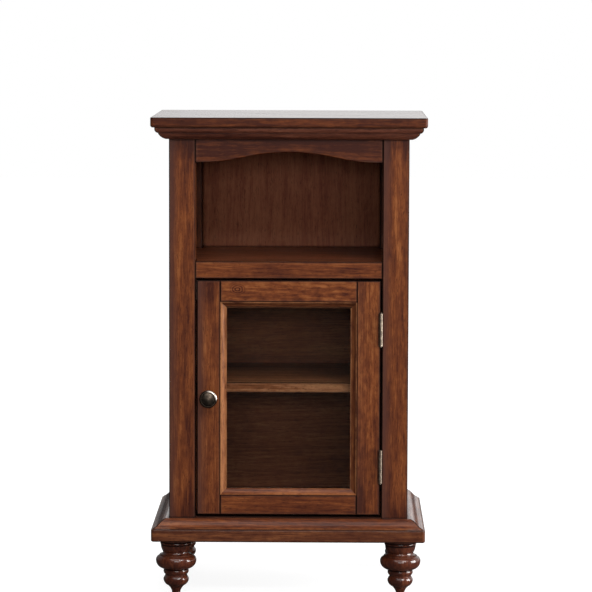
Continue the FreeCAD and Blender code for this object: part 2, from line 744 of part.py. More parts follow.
def knob():
    """Mushroom knob with a rose, a stem and a stepped rim round a low dome, tapped for its screw."""
    stem_z = ROSE_HEIGHT + STEM_HEIGHT
    rim_z = stem_z + HEAD_FLARE
    step_z = rim_z + HEAD_RIM
    rim = (HEAD_RADIUS, rim_z)
    dome = (DOME_RADIUS, step_z - RIM_STEP)
    crown = (0, step_z - RIM_STEP + DOME_HEIGHT)
    dome_arc, _ = leaving(crown, (1, 0), dome)
    profile = [
        ((ROSE_RADIUS, 0),),
        leaving((ROSE_RADIUS, 0), (0, 1), (STEM_RADIUS, ROSE_HEIGHT)),
        ((STEM_RADIUS, stem_z),),
        leaving((STEM_RADIUS, stem_z), (FLARE_LEAN, 1), rim),
        leaving(rim, (RIM_LEAN, 1), (DOME_RADIUS, step_z)),
        (dome,),
        (dome_arc, crown),
    ]
    body = turned((0, 0), profile)
    return on_door_face(body.cut(rod(KNOB_SCREW_RADIUS + SCREW_FIT, Vector(0, 0, 0), Vector(0, 0, 1),
                                     KNOB_SCREW_GRIP + SCREW_FIT)))


def knob_screw():
    """Screw through the left stile into the knob, with its head inside the door."""
    shank = rod(KNOB_SCREW_RADIUS, Vector(0, 0, -DOOR_THICKNESS), Vector(0, 0, 1),
                DOOR_THICKNESS + KNOB_SCREW_GRIP)
    head = rod(KNOB_SCREW_HEAD_RADIUS, Vector(0, 0, -DOOR_THICKNESS), Vector(0, 0, -1),
               KNOB_SCREW_HEAD_HEIGHT)
    return on_door_face(shank.fuse(head).removeSplitter())


def leaf_plate(face_x, way, bottom, growth=0.0):
    """Flat of a hinge leaf let into the wood at face_x, or with growth the gain that takes it."""
    return box((face_x, face_x + way * LEAF_THICKNESS), (hinge_y, front_y + LEAF_WIDTH + growth),
               (bottom - growth, bottom + HINGE_LENGTH + growth))


def barrel_relief(bottom):
    """Round room for a hinge barrel and the tips of its pin."""
    end = PIN_TIP_HEIGHT + BARREL_RELIEF
    return rod(BARREL_RADIUS + BARREL_RELIEF, Vector(hinge_x, hinge_y, bottom - end), Vector(0, 0, 1),
               HINGE_LENGTH + 2 * end)


def knuckle(radius, bottom, number, growth):
    """Round of one knuckle, shortened or, with growth, lengthened by the running gap."""
    pitch = HINGE_LENGTH / KNUCKLES
    low = bottom + number * pitch - growth
    return rod(radius, Vector(hinge_x, hinge_y, low), Vector(0, 0, 1), pitch + 2 * growth)


def hinge_leaf(face_x, way, bottom, own):
    """Leaf with every second knuckle, starting at number own, and room for the other leaf's knuckles."""
    leaf = leaf_plate(face_x, way, bottom)
    gap = KNUCKLE_GAP / 2
    for number in range(1 - own, KNUCKLES, 2):
        leaf = leaf.cut(knuckle(BARREL_RADIUS + BARREL_RELIEF, bottom, number, gap))
    leaf = leaf.fuse([knuckle(BARREL_RADIUS, bottom, number, -gap) for number in range(own, KNUCKLES, 2)])
    bore = rod(HINGE_PIN_RADIUS + HINGE_PIN_FIT, Vector(hinge_x, hinge_y, bottom), Vector(0, 0, 1),
               HINGE_LENGTH)
    return leaf.removeSplitter().cut(bore)


def hinge_pin(bottom):
    """Hinge pin with a button tip at each end of the barrel."""
    axis = Vector(0, 0, 1)
    pin = rod(HINGE_PIN_RADIUS, Vector(hinge_x, hinge_y, bottom), axis, HINGE_LENGTH)
    tips = [rod(PIN_TIP_RADIUS, Vector(hinge_x, hinge_y, bottom - PIN_TIP_HEIGHT), axis, PIN_TIP_HEIGHT),
            rod(PIN_TIP_RADIUS, Vector(hinge_x, hinge_y, bottom + HINGE_LENGTH), axis, PIN_TIP_HEIGHT)]
    return pin.fuse(tips).removeSplitter()


def catch_magnet(growth=0.0):
    """Magnet behind the strike, or with growth the pocket that holds it."""
    half = MAGNET_WIDTH / 2 + growth
    near = strike_y + STRIKE_GAP
    return box((strike_x - half, strike_x + half), (near, near + MAGNET_DEPTH + growth),
               (catch_z - MAGNET_LENGTH / 2 - growth, catch_z + MAGNET_LENGTH / 2 + growth))


def catch_housing():
    """Body of the magnetic catch on the inner face of the left post."""
    near = strike_y + STRIKE_GAP + MAGNET_PROUD
    body = box((-inner_x, CATCH_REACH - inner_x), (near, near + CATCH_DEPTH),
               (catch_z - CATCH_LENGTH / 2, catch_z + CATCH_LENGTH / 2))
    body = body.makeFillet(CATCH_ROUND, edges_on(body, "x", CATCH_REACH - inner_x))
    return body.cut(catch_magnet(FIT))


def catch_strike():
    """Strike plate on the back of the left stile, with the shank that holds it."""
    plate = box((strike_x - STRIKE_WIDTH / 2, strike_x + STRIKE_WIDTH / 2), (door_back_y, strike_y),
                (catch_z - STRIKE_LENGTH / 2, catch_z + STRIKE_LENGTH / 2))
    shank = rod(STRIKE_SHANK_RADIUS, Vector(strike_x, door_back_y, catch_z), Vector(0, -1, 0),
                STRIKE_SHANK_LENGTH)
    return plate.fuse(shank).removeSplitter()


def moved(shape, place):
    """A copy of a piece carried to a place."""
    copy = shape.copy()
    copy.translate(place)
    return copy


def both_sides(name, right):
    """A right piece and its opposite hand, by name."""
    return {f"{name}_right": right, f"{name}_left": mirrored(right)}


def case_pieces():
    """Posts, rails, panels and boards of the case."""
    front = front_post()
    cornice_front, cornice_right = cornice()
    moulding_front, moulding_right = base_moulding()
    pieces = {
        "top_panel": top_panel(),
        "cornice_front": cornice_front,
        "front_post_left": mirrored(front),
        "front_post_right": hinged_post(front),
        "frieze_rail": frieze_rail(),
        "mid_rail": mid_rail(),
        "rear_top_rail": rear_top_rail(),
        "back_panel": back_panel(),
        "niche_floor": niche_floor(),
        "cabinet_floor": cabinet_floor(),
        "inner_shelf": inner_shelf(),
        "shelf_pins": shelf_pins(),
        "base_board": base_board(),
        "base_moulding_front": moulding_front,
    }
    paired = {
        "cornice": cornice_right,
        "rear_post": rear_post(),
        "side_top_rail": side_rail(side_top_z, top_z, side_top_z, 1),
        "side_bottom_rail": side_rail(case_z, side_bottom_z, side_bottom_z, -1),
        "side_panel": side_panel(),
        "niche_bearer": niche_bearer(),
        "top_cleat": top_cleat(),
        "base_moulding": moulding_right,
    }
    for name, right in paired.items():
        pieces.update(both_sides(name, right))
    return pieces


def foot_pieces():
    """Four feet with their bolts and glides."""
    places = foot_places()
    pieces = {f"foot_{name}": moved(foot(), place) for name, place in places.items()}
    pieces["foot_bolts"] = Part.makeCompound([moved(foot_bolt(), place) for place in places.values()])
    pieces["foot_glides"] = Part.makeCompound([moved(foot_glide(), place) for place in places.values()])
    return pieces


def door_pieces():
    """Glazed door with its knob and strike."""
    stile = door_stile()
    lower, upper = door_rail_limits()
    pieces = {
        "door_stile_left": knob_stile(mirrored(stile)),
        "door_stile_right": hinged_stile(stile),
        "door_rail_bottom": door_rail(*lower),
        "door_rail_top": door_rail(*upper),
        "glass_pane": glass_pane(),
        "knob": knob(),
        "knob_screw": knob_screw(),
        "catch_strike": catch_strike(),
    }
    pieces.update({f"glazing_bevel_{side}": strip for side, strip in glazing_bevels().items()})
    pieces.update({f"glass_bead_{side}": strip for side, strip in glass_beads().items()})
    return pieces


def hardware_pieces():
    """Hinges and catch."""
    pieces = {"catch_housing": catch_housing(), "catch_magnet": catch_magnet()}
    for name, bottom in hinge_bottoms.items():
        pieces[f"hinge_{name}_frame_leaf"] = hinge_leaf(inner_x, 1, bottom, 0)
        pieces[f"hinge_{name}_door_leaf"] = hinge_leaf(door_x, -1, bottom, 1)
        pieces[f"hinge_{name}_pin"] = hinge_pin(bottom)
    return pieces


def main():
    """Build every piece and write one STEP file for each."""
    os.makedirs("parts", exist_ok=True)
    pieces = {**case_pieces(), **foot_pieces(), **door_pieces(), **hardware_pieces()}
    for name, shape in pieces.items():
        solids = shape.Solids
        whole = solids[0] if len(solids) == 1 else Part.makeCompound(solids)
        print(name, len(solids), round(whole.Volume, 1), whole.isValid())
        whole.exportStep(f"parts/{name}.step")


main()
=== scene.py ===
"""Looks of the storage side table: stained wood, glass, a dark knob, hinges and their screws.

Everything is in metres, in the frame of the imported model: +Z up, the front faces -Y.
"""

import logging
import math
from dataclasses import dataclass, field, replace
from enum import Enum
from typing import Any, Optional, Union

import bpy
import numpy as np
from mathutils import Matrix, Vector


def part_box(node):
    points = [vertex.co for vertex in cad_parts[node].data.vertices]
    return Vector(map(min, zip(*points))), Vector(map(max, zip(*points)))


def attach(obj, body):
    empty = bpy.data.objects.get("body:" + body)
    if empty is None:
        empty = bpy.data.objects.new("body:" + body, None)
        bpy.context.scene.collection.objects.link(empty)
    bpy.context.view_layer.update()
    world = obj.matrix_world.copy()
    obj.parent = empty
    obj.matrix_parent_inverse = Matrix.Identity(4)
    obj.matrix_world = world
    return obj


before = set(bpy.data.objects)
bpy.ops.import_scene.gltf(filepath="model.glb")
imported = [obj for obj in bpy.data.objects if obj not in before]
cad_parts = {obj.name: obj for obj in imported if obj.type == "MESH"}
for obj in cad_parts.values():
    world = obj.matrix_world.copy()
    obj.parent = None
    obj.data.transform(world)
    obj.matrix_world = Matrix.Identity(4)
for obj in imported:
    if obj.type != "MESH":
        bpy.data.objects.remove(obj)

log = logging.getLogger("side_table")
MM = 0.001
SKY_SAMPLES = 8
SHARP_ANGLE = math.radians(40)
FIRST_SEED = 1.3
SEED_STEP = 3.7
SIDES = ("left", "right")
Colour = tuple[float, float, float, float]
Point = tuple[float, float, float]
Span = tuple[float, float]


def tint(red: int, green: int, blue: int) -> Colour:
    """Scene colour of three display values from 0 to 255, by the sRGB curve.

    Args:
        red: Display red.
        green: Display green.
        blue: Display blue.

    Returns:
        The linear colour, opaque.
    """
    shares = [value / 255 for value in (red, green, blue)]
    linear = [share / 12.92 if share <= 0.04045 else ((share + 0.055) / 1.055) ** 2.4 for share in shares]
    return linear[0], linear[1], linear[2], 1.0


def grey(share: float) -> Colour:
    """Scene colour of one share of white."""
    return share, share, share, 1.0


class Socket:
    """Output of a shader node. Arithmetic on it adds Math nodes to its graph."""

    def __init__(self, graph: "Graph", output: bpy.types.NodeSocket) -> None:
        """Keep the graph and the output that later nodes link from."""
        self.graph = graph
        self.output = output

    def __add__(self, other: "Number") -> "Socket":
        """Sum with a number or another output."""
        return self.graph.math("ADD", self, other)

    __radd__ = __add__

    def __sub__(self, other: "Number") -> "Socket":
        """Difference from this output."""
        return self.graph.math("SUBTRACT", self, other)

    def __rsub__(self, other: "Number") -> "Socket":
        """Difference that takes this output away."""
        return self.graph.math("SUBTRACT", other, self)

    def __mul__(self, other: "Number") -> "Socket":
        """Product with a number or another output."""
        return self.graph.math("MULTIPLY", self, other)

    __rmul__ = __mul__

    def __truediv__(self, other: "Number") -> "Socket":
        """Quotient of this output."""
        return self.graph.math("DIVIDE", self, other)

    def lesser(self, other: "Number") -> "Socket":
        """The lesser of two values."""
        return self.graph.math("MINIMUM", self, other)

    def greater(self, other: "Number") -> "Socket":
        """The greater of two values."""
        return self.graph.math("MAXIMUM", self, other)

    def sine(self) -> "Socket":
        """Sine of this output, in radians."""
        return self.graph.math("SINE", self)

    def size(self) -> "Socket":
        """Absolute value of this output."""
        return self.graph.math("ABSOLUTE", self)

    def root(self) -> "Socket":
        """Square root of this output."""
        return self.graph.math("SQRT", self)

    def rise(self, low: float, high: float) -> "Socket":
        """Smooth step from 0 at low to 1 at high; high may be the smaller number.

        Args:
            low: Where the step leaves 0.
            high: Where it reaches 1.

        Returns:
            The step's value.
        """
        settings = {"interpolation_type": "SMOOTHSTEP"}
        sockets = {"Value": self, "From Min": low, "From Max": high, "To Min": 0.0, "To Max": 1.0}
        return self.graph.node("ShaderNodeMapRange", settings, sockets)


Number = Union[float, Socket]
Paint = Union[Colour, Socket]


class Graph:
    """Node tree of one material or of the world."""

    def __init__(self, tree: bpy.types.NodeTree, output: str) -> None:
        """Empty the tree and add its output node.

        Args:
            tree: The nodes to fill.
            output: Type of the output node.
        """
        self.tree = tree
        tree.nodes.clear()
        self.end = tree.nodes.new(output)

    def node(self, kind: str, settings: Optional[dict[str, Any]] = None,
             sockets: Optional[dict[Union[int, str], Any]] = None, output: Union[int, str] = 0) -> Socket:
        """Add a node.

        Args:
            kind: The node's type.
            settings: Its properties, set first; "stops" gives a ramp's places and colours.
            sockets: Values or links of its inputs, by name or number.
            output: Which output to return.

        Returns:
            That output.
        """
        made = self.tree.nodes.new(kind)
        for name, value in (settings or {}).items():
            if name == "stops":
                self.set_stops(made.color_ramp, value)
            else:
                setattr(made, name, value)
        for key, value in (sockets or {}).items():
            if isinstance(value, Socket):
                self.tree.links.new(value.output, made.inputs[key])
            else:
                made.inputs[key].default_value = value
        return Socket(self, made.outputs[output])

    @staticmethod
    def set_stops(ramp: bpy.types.ColorRamp, stops: list[tuple[float, Colour]]) -> None:
        """Give a colour ramp its stops.

        Args:
            ramp: The ramp of a new node, which has two stops.
            stops: Places from 0 to 1 with their colours, in order.
        """
        while len(ramp.elements) < len(stops):
            ramp.elements.new(1.0)
        for element, (place, colour) in zip(ramp.elements, stops):
            element.position = place
            element.color = colour

    def math(self, operation: str, *terms: Number) -> Socket:
        """Math node on one or two values."""
        return self.node("ShaderNodeMath", {"operation": operation}, dict(enumerate(terms)))

    def mix(self, share: Number, first: Paint, second: Paint) -> Socket:
        """Blend of two colours.

        Args:
            share: How much of the second colour, 0 to 1.
            first: A colour or a link.
            second: A colour or a link.

        Returns:
            The blended colour.
        """
        return self.node("ShaderNodeMix", {"data_type": "RGBA"}, {0: share, 6: first, 7: second}, 2)

    def place(self) -> list[Socket]:
        """X, Y and Z of the surface point, in the piece's own metres."""
        spot = self.node("ShaderNodeTexCoord", output="Object")
        return [self.node("ShaderNodeSeparateXYZ", {}, {0: spot}, number) for number in range(3)]

    def noise(self, parts: list[Number], detail: float = 2.0, roughness: float = 0.5) -> Socket:
        """Noise at a point whose three parts are already in steps of the noise.

        Args:
            parts: The three coordinates.
            detail: Number of finer layers.
            roughness: Strength of the finer layers.

        Returns:
            The noise, around a half.
        """
        spot = self.node("ShaderNodeCombineXYZ", {}, dict(enumerate(parts)))
        sockets = {"Vector": spot, "Scale": 1.0, "Detail": detail, "Roughness": roughness}
        return self.node("ShaderNodeTexNoise", {}, sockets)

    def open_sky(self, reach: float, inside: bool = False) -> Socket:
        """Share of open sky that a point sees within a distance.

        Args:
            reach: The distance in metres.
            inside: Look into the piece instead, which finds thin edges.

        Returns:
            The share, 1 in the open.
        """
        settings = {"samples": SKY_SAMPLES, "inside": inside}
        return self.node("ShaderNodeAmbientOcclusion", settings, {"Distance": reach}, "AO")

    def bump(self, height: Socket, distance: float, strength: float) -> Socket:
        """Normal of a fine relief.

        Args:
            height: Relief from 0 to 1.
            distance: Its full height in metres.
            strength: How much of it shows.

        Returns:
            The normal.
        """
        sockets = {"Strength": strength, "Distance": distance, "Height": height}
        return self.node("ShaderNodeBump", {}, sockets)

    def principled(self, **sockets: Any) -> Socket:
        """Principled surface; underscores in the names stand for spaces."""
        return self.node("ShaderNodeBsdfPrincipled", {},
                         {name.replace("_", " "): value for name, value in sockets.items()})

    def close(self, shader: Socket) -> None:
        """Link the finished shader to the output."""
        self.tree.links.new(shader.output, self.end.inputs["Surface"])


def new_material(name: str) -> tuple[bpy.types.Material, Graph]:
    """A material with an empty graph.

    Args:
        name: The material's name.

    Returns:
        The material and its graph.
    """
    material = bpy.data.materials.new(name)
    material.use_nodes = True
    return material, Graph(material.node_tree, "ShaderNodeOutputMaterial")


class Grain(Enum):
    """Which way the fibres run: the axis along them, then the two across."""

    ALONG_X = (0, 1, 2)
    ALONG_Y = (1, 0, 2)
    ALONG_Z = (2, 0, 1)


class Form(Enum):
    """How the edges of a wooden piece are found."""

    # the edges' pale marks are wear and painted highlight; the hollows' dark is glaze and painted shade
    BOARD = "flat board with rubbed edges"
    SHAPED = "moulded or turned piece with glaze in its hollows"


@dataclass(frozen=True)
class Board:
    """One wooden piece as the wood finish sees it.

    Attributes:
        node: The piece's node.
        form: How its edges are found.
        number: Number that sets its grain apart.
        tone_shift: Tone added all over it; on some boards it is painted light or shade.
        darkened_ends: Tone taken away at its two ends; on the posts this is painted shade under the cornice
            and towards the base.
        painted_shade: Share of painted shade down its left side, or along the lower lip of a strip.
        between: The uprights that hide its tenons.
        level_below: Board under which the fibres of its front veneer run level.
        figure: Strength of the mottled figure.
        knot: Place of a knot, in shares of the width and the height that show.
        mitred_to: The front moulding whose mitres it shares.
        scored: Depths of its turned grooves below its top.
    """

    node: str
    form: Form
    number: int
    tone_shift: float = 0.0
    darkened_ends: tuple[float, float] = (0.0, 0.0)
    painted_shade: float = 0.0
    between: Optional[tuple[str, str]] = None
    level_below: Optional[str] = None
    figure: float = 0.5
    knot: Optional[tuple[float, float]] = None
    mitred_to: Optional[str] = None
    scored: tuple[float, ...] = ()

    @property
    def corners(self) -> tuple[Vector, Vector]:
        """Lowest and highest corner of the piece."""
        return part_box(self.node)

    @property
    def shown(self) -> tuple[Vector, Vector]:
        """Corners of what shows: a tenoned rail is seen from one upright to the other.

        Returns:
            The lowest and the highest corner.
        """
        low, high = self.corners
        if self.between is not None:
            along = self.grain.value[0]
            low[along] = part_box(self.between[0])[1][along]
            high[along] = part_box(self.between[1])[0][along]
        return low, high

    @property
    def grain(self) -> Grain:
        """Way of the fibres, along the longest side.

        Returns:
            The axis along them and the two across.
        """
        low, high = self.corners
        size = high - low
        longest = max(range(3), key=lambda axis: size[axis])
        return list(Grain)[longest]

    @property
    def seed(self) -> float:
        """Shift of this board's noises."""
        return FIRST_SEED + SEED_STEP * self.number


@dataclass(frozen=True)
class Streak:
    """Noise drawn out along the grain, with its run and width in metres."""

    run: float
    width: float
    shift: float
    detail: float = 3.0
    roughness: float = 0.55

    def drawn(self, graph: Graph, spot: list[Socket], seed: float) -> Socket:
        """The noise on one board.

        Args:
            graph: The material's graph.
            spot: Place along the grain and the two places across it.
            seed: Shift that sets one board apart from another.

        Returns:
            The noise, around 0.
        """
        start = seed + self.shift
        parts = [spot[0] / self.run + start, spot[1] / self.width + start, spot[2] / self.width - start]
        return graph.noise(parts, self.detail, self.roughness) - 0.5


@dataclass(frozen=True)
class Fibres:
    """Noises that the colour, the gloss and the relief of one board share."""

    broad: Socket
    narrow: Socket
    fine: Socket
    mottle: Socket
    pores: Socket


@dataclass(frozen=True)
class Figure:
    """Streaks, growth rings and knots of the wood, with their shares in its tone."""

    broad: Streak = Streak(240 * MM, 24 * MM, 0.0, 2.0)
    narrow: Streak = Streak(80 * MM, 3.4 * MM, 11.0)
    fine: Streak = Streak(26 * MM, 1.5 * MM, 23.0)
    mottle: Streak = Streak(15 * MM, 8 * MM, 51.0)
    pores: Streak = Streak(8 * MM, 0.7 * MM, 37.0, 1.0)
    pore_step: Span = (0.12, 0.2)
    middle_tone: float = 0.5
    broad_share: float = 0.95
    narrow_share: float = 0.65
    fine_share: float = 0.8
    ring_share: float = 0.05
    ring_step: float = 7 * MM
    ring_waver: float = 9 * MM
    ring_bend: float = 3.0
    ring_lean: float = 0.05
    pith_depth: float = 60 * MM
    pith_sway: float = 18 * MM
    end_reach: float = 75 * MM
    end_waver: float = 60 * MM
    knot_fade: Span = (17 * MM, 1.7 * MM)
    knot_step: float = 4.5 * MM
    knot_flatness: float = 1.5
    knot_waver: float = 8 * MM
    knot_unevenness: float = 6 * MM
    knot_depth: float = 0.36
    knot_shade: float = 0.14

    def fibres(self, graph: Graph, spot: list[Socket], seed: float) -> Fibres:
        """The noises of one board.

        Args:
            graph: The material's graph.
            spot: Place along the grain and the two places across it.
            seed: Shift that sets one board apart from another.

        Returns:
            The noises, around 0, and the pores from 0 to 1.
        """
        streaks = (self.broad, self.narrow, self.fine, self.mottle, self.pores)
        broad, narrow, fine, mottle, pores = [streak.drawn(graph, spot, seed) for streak in streaks]
        return Fibres(broad, narrow, fine, mottle, pores.rise(*self.pore_step))

    def tone(self, place: list[Socket], spot: list[Socket], fibres: Fibres, board: Board) -> Socket:
        """Tone of the wood, from dark at 0 to pale at 1.

        Streaks of three sizes, a mottled figure and growth rings add up. The rings are the sine of the
        distance to a pith behind the board. A knot adds rings of its own, and the ends are darkened.

        Args:
            place: X, Y and Z of the point.
            spot: Place along the grain and the two places across it.
            fibres: The board's noises.
            board: The piece.

        Returns:
            The tone.
        """
        sideways = spot[1] + math.sin(board.seed) * self.pith_sway + fibres.broad * self.ring_waver
        inwards = spot[2] + self.pith_depth
        radius = (sideways * sideways + inwards * inwards).root() + spot[0] * self.ring_lean
        rings = (radius * (2 * math.pi / self.ring_step) + fibres.narrow * self.ring_bend).sine()
        tone = self.middle_tone + board.tone_shift + rings * self.ring_share + fibres.mottle * board.figure
        tone = tone + fibres.broad * self.broad_share + fibres.narrow * self.narrow_share
        tone = tone + fibres.fine * self.fine_share
        if board.knot is not None:
            tone = tone + self.knot(place, fibres, board)
        low, high = board.corners
        along = board.grain.value[0]
        to_ends = (place[along] - low[along], high[along] - place[along])
        # darker towards the ends; on the posts this is painted shade under the cornice and towards the base
        for to_end, share in zip(to_ends, board.darkened_ends):
            if share:
                tone = tone - (to_end + fibres.broad * self.end_waver).rise(self.end_reach, 0.0) * share
        return tone

    def knot(self, place: list[Socket], fibres: Fibres, board: Board) -> Socket:
        """Wavering rings round a flattened knot, which fade away from it.

        Args:
            place: X, Y and Z of the point.
            fibres: The board's noises.
            board: The piece.

        Returns:
            What the knot adds to the tone.
        """
        low, high = board.shown
        aside = place[0] - (low.x + board.knot[0] * (high.x - low.x))
        above = (place[2] - (low.z + board.knot[1] * (high.z - low.z))) * self.knot_flatness
        reach = (aside * aside + above * above).root()
        reach = reach + fibres.broad * self.knot_waver + fibres.mottle * self.knot_unevenness
        waves = (reach * (2 * math.pi / self.knot_step)).sine() * self.knot_depth - self.knot_shade
        return reach.rise(*self.knot_fade) * waves


@dataclass(frozen=True)
class StainedWood:
    """Close-grained hardwood, stained red-brown, glazed and lacquered."""

    dark: Colour
    middle: Colour
    warm: Colour
    pale: Colour
    pore: Colour
    # colour of dark glaze in joints and of painted shade in hollows and under lips
    glaze: Colour
    # pale colour of wear and painted highlight on edges and arrises
    rubbed: Colour
    # colour of the dark toning on edges and of the painted shade down the left side
    toner_and_shade_colour: Colour
    roughness: float
    coat: float
    top_coat: float = 0.0
    top_skin: Span = (0.8 * MM, 0.2 * MM)
    coat_streaks: float = 1.5
    coat_roughness: float = 0.1
    index: float = 1.5
    sheen: float = 0.08
    rub: float = 0.2
    rub_and_highlight_patches: Span = (-0.2, 0.133)
    figure: Figure = Figure()
    steps: tuple[float, ...] = (0.14, 0.42, 0.62, 0.9)
    pore_share: float = 0.7
    glaze_and_shade_share: float = 0.95
    sheet_tone: float = 0.2
    sheet_face: Span = (0.5 * MM, -0.5 * MM)
    sheet_joint: Span = (0.1 * MM, -0.1 * MM)
    edge_rub_and_highlight: float = 0.06
    edge_rub_and_highlight_band: Span = (5.0 * MM, 2.0 * MM)
    edge_line: Span = (2.2 * MM, 0.6 * MM)
    arris_reach: float = 2.8 * MM
    arris_sky: Span = (0.85, 0.5)
    hollow_reach: float = 8 * MM
    hollow_sky: Span = (0.8, 0.4)
    mitre_line: Span = (2.4 * MM, 1.0 * MM)
    groove_line: Span = (1.5 * MM, 0.5 * MM)
    lip_line: Span = (3.2 * MM, 1.6 * MM)
    tone_reach: float = 5 * MM
    tone_share: float = 0.5
    shade_reach: float = 20 * MM
    shade_waver: float = 12 * MM
    shade_depth: Span = (3 * MM, 1 * MM)
    streak_dull: float = 0.15
    pore_dull: float = 0.12
    glaze_dull: float = 0.4
    relief: float = 0.12 * MM
    relief_strength: float = 0.5
    fibre_height: float = 0.5
    pore_depth: float = 0.6
    middle_height: float = 0.5

    @staticmethod
    def edge_gap(place: list[Socket], board: Board) -> Socket:
        """Distance to the nearest edge: the middle one of the distances to the three pairs of faces.

        Args:
            place: X, Y and Z of the point.
            board: The piece.

        Returns:
            The distance in metres.
        """
        low, high = board.shown
        gaps = [(place[axis] - low[axis]).lesser(high[axis] - place[axis]) for axis in range(3)]
        lesser = gaps[0].lesser(gaps[1])
        greater = gaps[0].greater(gaps[1])
        return lesser.greater(greater.lesser(gaps[2]))

    def hollows(self, graph: Graph) -> Socket:
        """Mask of grooves, corners and joints, where little open sky is seen: painted shade, and the glaze
        that settles there.
        """
        return graph.open_sky(self.hollow_reach).rise(*self.hollow_sky)

    def arrises(self, graph: Graph) -> Socket:
        """Mask of sharp outer edges, where the wood behind the surface is thin."""
        return graph.open_sky(self.arris_reach, inside=True).rise(*self.arris_sky)

    def joints(self, place: list[Socket], board: Board) -> Number:
        """Mask of dark glaze in mitres, and of glaze and painted shade in turned grooves.

        A mitre lies where the distance from the end of the front moulding equals that from its face, and
        a groove at its own height.

        Args:
            place: X, Y and Z of the point.
            board: The piece.

        Returns:
            The mask, or 0 for a piece with neither.
        """
        mask: Number = 0.0
        if board.mitred_to is not None:
            low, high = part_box(board.mitred_to)
            depth = place[1] - low.y
            left, right = (place[0] - low.x - depth).size(), (high.x - place[0] - depth).size()
            mask = left.lesser(right).rise(*self.mitre_line)
        # turned grooves: glaze with painted shade
        for below in board.scored:
            level = board.corners[1].z - below
            mask = (place[2] - level).size().rise(*self.groove_line).greater(mask)
        return mask

    def veneers(self, place: list[Socket], spot: list[Socket], board: Board) -> tuple[list[Socket], Number]:
        """Grain of a board whose front is faced with two veneers, the lower with its fibres level.

        Args:
            place: X, Y and Z of the point.
            spot: Place along the board's own grain and the two places across it.
            board: The piece.

        Returns:
            Place along and across the veneers' grain, and what the upper one adds to the tone.
        """
        if board.level_below is None:
            return spot, 0.0
        low, high = board.corners
        floor_low, floor_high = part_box(board.level_below)
        front = (place[1] - (low.y + high.y) / 2).rise(*self.sheet_face)
        lower = (place[2] - (floor_low.z + floor_high.z) / 2).rise(*self.sheet_joint) * front
        turned = [spot[0] + (spot[1] - spot[0]) * lower, spot[1] + (spot[0] - spot[1]) * lower, spot[2]]
        return turned, (front - lower) * self.sheet_tone

    def toner_and_shade_mask(self, place: list[Socket], gap: Socket, fibres: Fibres, board: Board) -> Socket:
        """Mask of the dark toning along a board's edges, and of painted shade down its left side, on its
        front and back.

        Args:
            place: X, Y and Z of the point.
            gap: Distance to the nearest edge.
            fibres: The board's noises.
            board: The piece.

        Returns:
            The mask.
        """
        mask = gap.rise(self.tone_reach, 0.0) * self.tone_share
        # painted shade: the left side of the front and back is darker, as if lit from the right
        if board.painted_shade:
            low, high = board.corners
            side = (place[0] - low.x + fibres.broad * self.shade_waver).rise(self.shade_reach, 0.0)
            facing = (place[1] - low.y).lesser(high.y - place[1]).rise(*self.shade_depth)
            mask = mask.greater(side * facing * board.painted_shade)
        return mask

    def material(self, board: Board) -> bpy.types.Material:
        """Wood of one board.

        The tone picks the colour, and short pores darken it. Toning darkens the edges, and painted shade
        the left side of some boards;
        wear and painted highlight make the edges paler here and there; hollows hold dark glaze and painted
        shade, which take the shine away.

        Args:
            board: The piece.

        Returns:
            Its material.
        """
        material, graph = new_material(f"wood_{board.node}")
        place = graph.place()
        low, high = board.corners
        middle = (low + high) / 2
        spot = [place[axis] - middle[axis] for axis in board.grain.value]
        spot, sheet_tone = self.veneers(place, spot, board)
        fibres = self.figure.fibres(graph, spot, board.seed)
        tone = self.figure.tone(place, spot, fibres, board) + sheet_tone
        stops = list(zip(self.steps, (self.dark, self.middle, self.warm, self.pale)))
        colour = graph.node("ShaderNodeValToRGB", {"stops": stops}, {0: tone})
        colour = graph.mix(fibres.pores * self.pore_share, colour, self.pore)
        # ambient-occlusion darkening: glaze in joints and painted shade in hollows
        glaze = self.hollows(graph).greater(self.joints(place, board))
        if board.form is Form.BOARD:
            gap = self.edge_gap(place, board)
            # dark toning on the edges and painted shade down the left side
            colour = graph.mix(self.toner_and_shade_mask(place, gap, fibres, board), colour, self.toner_and_shade_colour)
            # pale band next to the edges: wear and painted highlight
            worn = gap.rise(*self.edge_rub_and_highlight_band) * self.edge_rub_and_highlight
            glaze = glaze.greater(gap.rise(*self.edge_line))
        else:
            # pale arrises: wear and painted highlight
            worn = self.arrises(graph) * self.rub
            # painted shade along the lower lip of a strip
            if board.painted_shade:
                glaze = glaze.greater((place[2] - low.z).rise(*self.lip_line) * board.painted_shade)
        colour = graph.mix(worn * fibres.mottle.rise(*self.rub_and_highlight_patches), colour, self.rubbed)
        colour = graph.mix(glaze * self.glaze_and_shade_share, colour, self.glaze)
        dulled = fibres.narrow * self.streak_dull + fibres.pores * self.pore_dull + glaze * self.glaze_dull
        upper = (high.z - place[2]).rise(*self.top_skin)
        streaked = fibres.narrow * self.coat_streaks + 1
        coat = (1 - glaze) * streaked * (self.coat + upper * self.top_coat)
        height = self.middle_height + fibres.fine * self.fibre_height - fibres.pores * self.pore_depth
        graph.close(graph.principled(
            Base_Color=colour, Roughness=self.roughness + dulled, IOR=self.index,
            Specular_IOR_Level=self.sheen, Coat_Weight=coat, Coat_Roughness=self.coat_roughness,
            Normal=graph.bump(height, self.relief, self.relief_strength)))
        return material


# grime and painted shade in metal hollows and round a knob's rim
GRIME_AND_SHADE = tint(22, 16, 13)
# painted highlight on the upper right of a knob's rim
RIM_HIGHLIGHT = tint(200, 190, 178)


